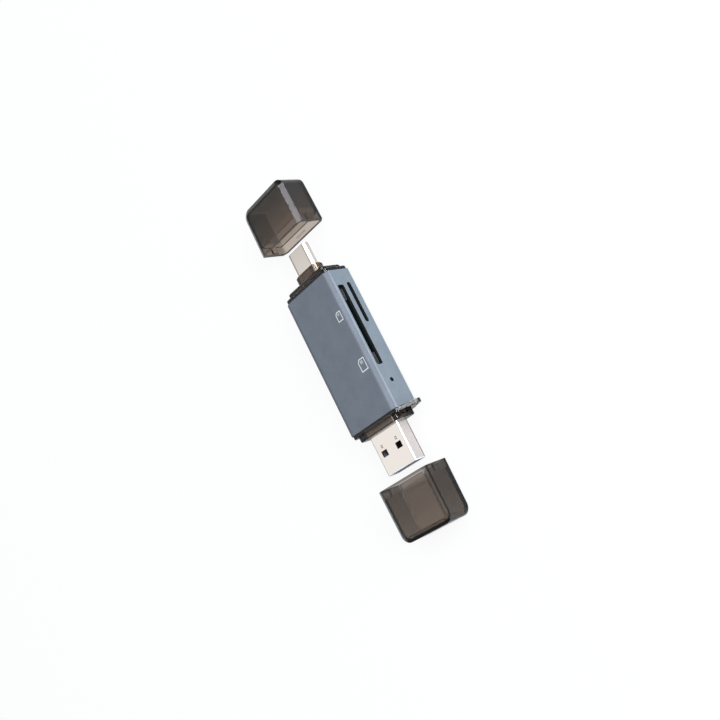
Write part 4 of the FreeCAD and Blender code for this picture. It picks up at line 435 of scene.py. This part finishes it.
# the ear tip's darker colour is painted shade
EAR_TIP = 11.0 * MM


def shade_ear_tip(material, ear_shade):
    """Painted shade: a darker colour at the tip of the lanyard ear."""
    tree = material.node_tree
    tip = math_node(tree, "LESS_THAN", place_of(material)["Y"], SLEEVE_MIDDLE.y - EAR_TIP)
    painted_shading = blend(tree, tip, (1.0, 1.0, 1.0), ear_shade)
    tree.links.new(painted_shading, tree.nodes["Principled BSDF"].inputs["Base Color"])


# each cap's colours by place are painted light and shade
flat_cap_smoke = cap_smoke(
    "smoky_flat_plug_cap", "type_a_cap", -1, band_shading=(0.79, 0.785, 0.78), body_shading=(0.865, 0.86, 0.86),
    end_shading=(0.97, 0.97, 0.97), wall_shading=(0.35, 0.35, 0.36), wall_mouth_shading=(0.40, 0.40, 0.40),
    lip_shading=(0.5, 0.5, 0.5))
oval_cap_smoke = cap_smoke(
    "smoky_oval_plug_cap", "type_c_cap", 1, band_shading=(0.99, 0.94, 0.90), body_shading=(0.82, 0.81, 0.80),
    end_shading=(0.58, 0.62, 0.67), wall_shading=(0.22, 0.225, 0.23), wall_mouth_shading=(0.50, 0.48, 0.46),
    lip_shading=(1.0, 1.0, 1.0))
flat_end_smoke = smoky("smoky_flat_plug_end", (0.38, 0.31, 0.24), 900.0, 0.07, (0.6, 0.53, 0.46))
shade_ear_tip(flat_end_smoke, (0.45, 0.5, 0.55))
oval_end_smoke = smoky("smoky_oval_plug_end", (0.40, 0.30, 0.21), 1500.0, 0.07, (0.5, 0.44, 0.38))
PLATE = dict(metallic=1.0, roughness=0.18, stretch=(0.12, 1, 1), grain=5000.0, cloud=300.0,
             colour_change=0.05, roughness_change=0.08, bump=0.05)
bright_nickel = surface("bright_nickel_plate", (0.915, 0.855, 0.80), **PLATE)
warm_nickel = surface("warm_nickel_plate", (0.84, 0.775, 0.71), **PLATE)
spring_steel = surface("spring_steel", (0.62, 0.61, 0.59), metallic=1.0, roughness=0.32, stretch=(1, 0.1, 1),
                       grain=5000.0)
guide_steel = surface("guide_spring_steel", (0.22, 0.22, 0.23), metallic=0.5, roughness=0.5, grain=5000.0)
black = surface("black_socket_plastic", (0.003, 0.006, 0.006), roughness=0.6, grain=3000.0,
                Specular_IOR_Level=0.1)
# painted shade: the blue tongue drawn near-black navy, as it lies in shade inside the plug
blue = surface("blue_tongue_plastic", (0.004, 0.014, 0.04), roughness=0.42, grain=3000.0)
# painted shade: the flat plug's contacts drawn dark, as they lie in shade inside the plug
contact_in_shade = surface("contact_painted_shade", (0.09, 0.08, 0.07), metallic=1.0, roughness=0.4,
                       stretch=(0.15, 1, 1))
gold = surface("gold_plate", (0.86, 0.62, 0.26), metallic=1.0, roughness=0.22, stretch=(0.15, 1, 1))
laminate = surface("board_laminate", (0.012, 0.085, 0.04), roughness=0.36, grain=2500.0, colour_change=0.25)
epoxy = surface("chip_epoxy", (0.025, 0.025, 0.027), roughness=0.55, grain=7000.0, bump=0.25)
tin = surface("tinned_lead", (0.72, 0.72, 0.70), metallic=1.0, roughness=0.3)
can = surface("crystal_can_metal", (0.74, 0.72, 0.66), metallic=1.0, roughness=0.26, stretch=(0.2, 1, 1))
ceramic = surface("capacitor_ceramic", (0.40, 0.27, 0.15), roughness=0.5, grain=4000.0)
glaze = surface("resistor_glaze", (0.02, 0.02, 0.022), roughness=0.3)
package = surface("led_package", (0.82, 0.82, 0.76), roughness=0.35)
carrier = surface("carrier_plastic", (0.06, 0.06, 0.065), roughness=0.55, grain=2500.0)
# painted shade: the light guide drawn near-black, so the light hole shows dark
guide_in_shade = surface("light_guide_painted_shade", (0.003, 0.003, 0.005), roughness=0.6, grain=2500.0,
                     Specular_IOR_Level=0.1)


def stamp_shell(material):
    """Shallow stamped card-shaped marks behind the two latch windows of the flat plug; their dark lines are
    painted shade in place of the relief, their rougher face is their own.
    """
    both = card_marks(material, STAMPED_CARDS, SLEEVE_MIDDLE.z + STAMP_LEVEL, 0.0)
    colour_over(material, math_node(material.node_tree, "MULTIPLY", both, STAMP_STRENGTH), STAMP_SHADE)
    raise_roughness(material, both, 0.2)


stamp_shell(bright_nickel)


PLUG_RIM_DEPTH = 0.25 * MM


def line_shell(material, node, low, high, edge_reach, tongue_reflection):
    """Painted shade as a fine dark line low on both narrow sides of a plug, and a painted reflection of the
    blue tongue as a tinted rim round its mouth where a colour is given."""
    tree = material.node_tree
    box_low, box_high = (Vector(corner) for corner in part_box(node))
    middle = (box_low + box_high) / 2
    place = place_of(material)
    across = off_middle(tree, place, "Y", middle.y)
    side = math_node(tree, "GREATER_THAN", across, (box_high.y - box_low.y) / 2 - edge_reach)
    height = math_node(tree, "SUBTRACT", place["Z"], middle.z)
    line = math_node(tree, "MULTIPLY", math_node(tree, "GREATER_THAN", height, low),
                     math_node(tree, "LESS_THAN", height, high))
    # painted shade along the low edges of the narrow sides
    colour_over(material, math_node(tree, "MULTIPLY", line, side), LOW_SHADE_LINE)
    if tongue_reflection:
        # painted reflection of the blue tongue as a pale blue, non-metal rim round the mouth
        rim = math_node(tree, "LESS_THAN", place["X"], box_low.x + PLUG_RIM_DEPTH)
        colour_over(material, rim, tongue_reflection)
        metal = tree.nodes["Principled BSDF"].inputs["Metallic"]
        tree.links.new(math_node(tree, "SUBTRACT", 1.0, rim), metal)


# the pale blue rim is a painted reflection of the blue tongue
line_shell(bright_nickel, "type_a_shell", -2.25 * MM, -1.62 * MM, 0.8 * MM, (0.62, 0.68, 0.75))
line_shell(warm_nickel, "type_c_shell", -1.0 * MM, -0.62 * MM, 1.3 * MM, None)

LOOKS = {
    "housing_sleeve": anodised, "type_a_end_piece": flat_end_smoke, "type_c_end_piece": oval_end_smoke,
    "type_a_cap": flat_cap_smoke, "type_c_cap": oval_cap_smoke,
    "type_a_shell": bright_nickel, "type_c_shell": warm_nickel,
    "wide_card_cover": spring_steel, "wide_card_guides": guide_steel, "small_card_cover": spring_steel,
    "type_c_latch_spring": spring_steel,
    "wide_card_frame": black, "small_card_frame": black, "type_c_insulator": black,
    "type_a_tongue": blue, "circuit_board": laminate, "controller_chip": epoxy,
    "voltage_regulator": epoxy, "controller_pads": tin, "regulator_leads": tin, "crystal_can": can,
    "status_led": package, "light_guide": guide_in_shade, "inner_carrier": carrier,
    "type_a_rear_contacts": contact_in_shade, "type_a_front_contacts": contact_in_shade,
}
PREFIX_LOOKS = {"capacitor": ceramic, "resistor": glaze}
for label, node in NODES.items():
    look = LOOKS.get(label) or PREFIX_LOOKS.get(label.split("_")[0])
    if look is None and label.endswith("contacts"):
        look = gold
    if look is None:
        raise RuntimeError(f"no look for {label}")
    node.data.materials.clear()
    node.data.materials.append(look)


# share of the floor that shines plain white, for the camera, in polished metal and through clear plastic
CAMERA_WHITE = 0.9
GLOSSY_WHITE = 0.5
THROUGH_WHITE = 0.95
MIRRORED_DIMMING = 0.42
FLOOR_COLOUR = (0.70, 0.72, 0.75)
FLOOR_REACH = 3.0
FLOOR_DROP = 0.02 * MM
TENT_GREY = (0.28, 0.285, 0.295)
# soft panels of the tent: direction, inner and outer angle in degrees, colour; a wide one overhead, a
# narrow bright one that the bevels show, and a small one behind
TENT_PANELS = (
    ((0.0, -0.45, 0.89), 40, 50, (0.98, 1.0, 1.03)),
    ((0.47, -0.37, 0.80), 12, 15, (6.7, 6.7, 7.2)),
    ((0.10, 0.66, 0.745), 11, 20, (0.95, 0.95, 0.95)),
)


def add_floor():
    """Wide pale floor that the reader lies on."""
    mesh = bpy.data.meshes.new("floor")
    corners = [(x * FLOOR_REACH, y * FLOOR_REACH, 0) for x, y in ((-1, -1), (1, -1), (1, 1), (-1, 1))]
    mesh.from_pydata(corners, [], [(0, 1, 2, 3)])
    floor = bpy.data.objects.new("floor", mesh)
    bpy.context.scene.collection.objects.link(floor)
    floor.location.z = -FLOOR_DROP
    material = bpy.data.materials.new("pale_floor")
    material.use_nodes = True
    tree = material.node_tree
    tree.nodes.remove(tree.nodes["Principled BSDF"])
    matt = tree.nodes.new("ShaderNodeBsdfDiffuse")
    matt.inputs["Color"].default_value = (*FLOOR_COLOUR, 1.0)
    white = tree.nodes.new("ShaderNodeEmission")
    path = tree.nodes.new("ShaderNodeLightPath")
    # a ray through clear plastic counts as glossy too; only mirrored rays see the floor greyer
    mirrored = math_node(tree, "GREATER_THAN", math_node(
        tree, "SUBTRACT", path.outputs["Is Glossy Ray"], path.outputs["Is Transmission Ray"]), 0.5)
    share = math_node(tree, "MULTIPLY", path.outputs["Is Camera Ray"], CAMERA_WHITE)
    for ray, amount in ((mirrored, GLOSSY_WHITE), (path.outputs["Is Transmission Ray"], THROUGH_WHITE)):
        share = math_node(tree, "MAXIMUM", share, math_node(tree, "MULTIPLY", ray, amount))
    strength = math_node(tree, "MULTIPLY_ADD", mirrored, -MIRRORED_DIMMING, 1.0)
    tree.links.new(strength, white.inputs["Strength"])
    mix = tree.nodes.new("ShaderNodeMixShader")
    tree.links.new(share, mix.inputs[0])
    tree.links.new(matt.outputs["BSDF"], mix.inputs[1])
    tree.links.new(white.outputs["Emission"], mix.inputs[2])
    tree.links.new(mix.outputs["Shader"], tree.nodes["Material Output"].inputs["Surface"])
    mesh.materials.append(material)


def add_area(name, place, target, size, power):
    """Round soft light aimed at a point."""
    lamp = bpy.data.lights.new(name, "AREA")
    lamp.shape = "DISK"
    lamp.size = size
    lamp.energy = power
    lamp_object = bpy.data.objects.new(name, lamp)
    bpy.context.scene.collection.objects.link(lamp_object)
    lamp_object.location = place
    aim = Vector(target) - Vector(place)
    lamp_object.rotation_euler = aim.to_track_quat("-Z", "Y").to_euler()


def soft_panel(tree, direction, toward, inner, outer):
    """Mask of a round soft panel far away: 1 within the inner angle, 0 past the outer one, in degrees."""
    dot = tree.nodes.new("ShaderNodeVectorMath")
    dot.operation = "DOT_PRODUCT"
    tree.links.new(direction, dot.inputs[0])
    dot.inputs[1].default_value = Vector(toward).normalized()
    return ramp_up(tree, dot.outputs["Value"], math.cos(math.radians(outer)), math.cos(math.radians(inner)))


def add_world():
    """Light tent: soft grey all round with soft panels, and plain white for the camera."""
    world = bpy.data.worlds.new("studio")
    bpy.context.scene.world = world
    world.use_nodes = True
    tree = world.node_tree
    direction = tree.nodes.new("ShaderNodeTexCoord").outputs["Generated"]
    shade = TENT_GREY
    for toward, inner, outer, colour in TENT_PANELS:
        shade = blend(tree, soft_panel(tree, direction, toward, inner, outer), shade, colour)
    path = tree.nodes.new("ShaderNodeLightPath")
    shade = blend(tree, path.outputs["Is Camera Ray"], shade, (1.0, 1.0, 1.0))
    tree.links.new(shade, tree.nodes["Background"].inputs["Color"])


add_floor()
add_area("front_light", (0.03, -0.89, 0.42), target=(0, 0, 0.01), size=0.8, power=13.3)
add_world()

camera_data = bpy.data.cameras.new("camera")
camera = bpy.data.objects.new("camera", camera_data)
bpy.context.scene.collection.objects.link(camera)
camera_data.sensor_width = 36.0
camera_data.lens = 47.49
camera_data.clip_start = 0.01
# fitted to the photo: the camera's place from the sleeve's middle, and its three axes
CAMERA_PLACE = Vector((-61.3, -176.2, 196.0)) * MM
RIGHT = Vector((-0.4389, -0.6039, -0.6654))
DOWN = Vector((-0.8724, 0.4636, 0.1547))
AHEAD = Vector((0.2150, 0.6484, -0.7303))
turn = Matrix((RIGHT, -DOWN, -AHEAD)).transposed()
camera.matrix_world = Matrix.Translation(SLEEVE_MIDDLE + CAMERA_PLACE) @ turn.to_4x4()
bpy.context.scene.camera = camera

bpy.context.scene.view_settings.view_transform = "Standard"
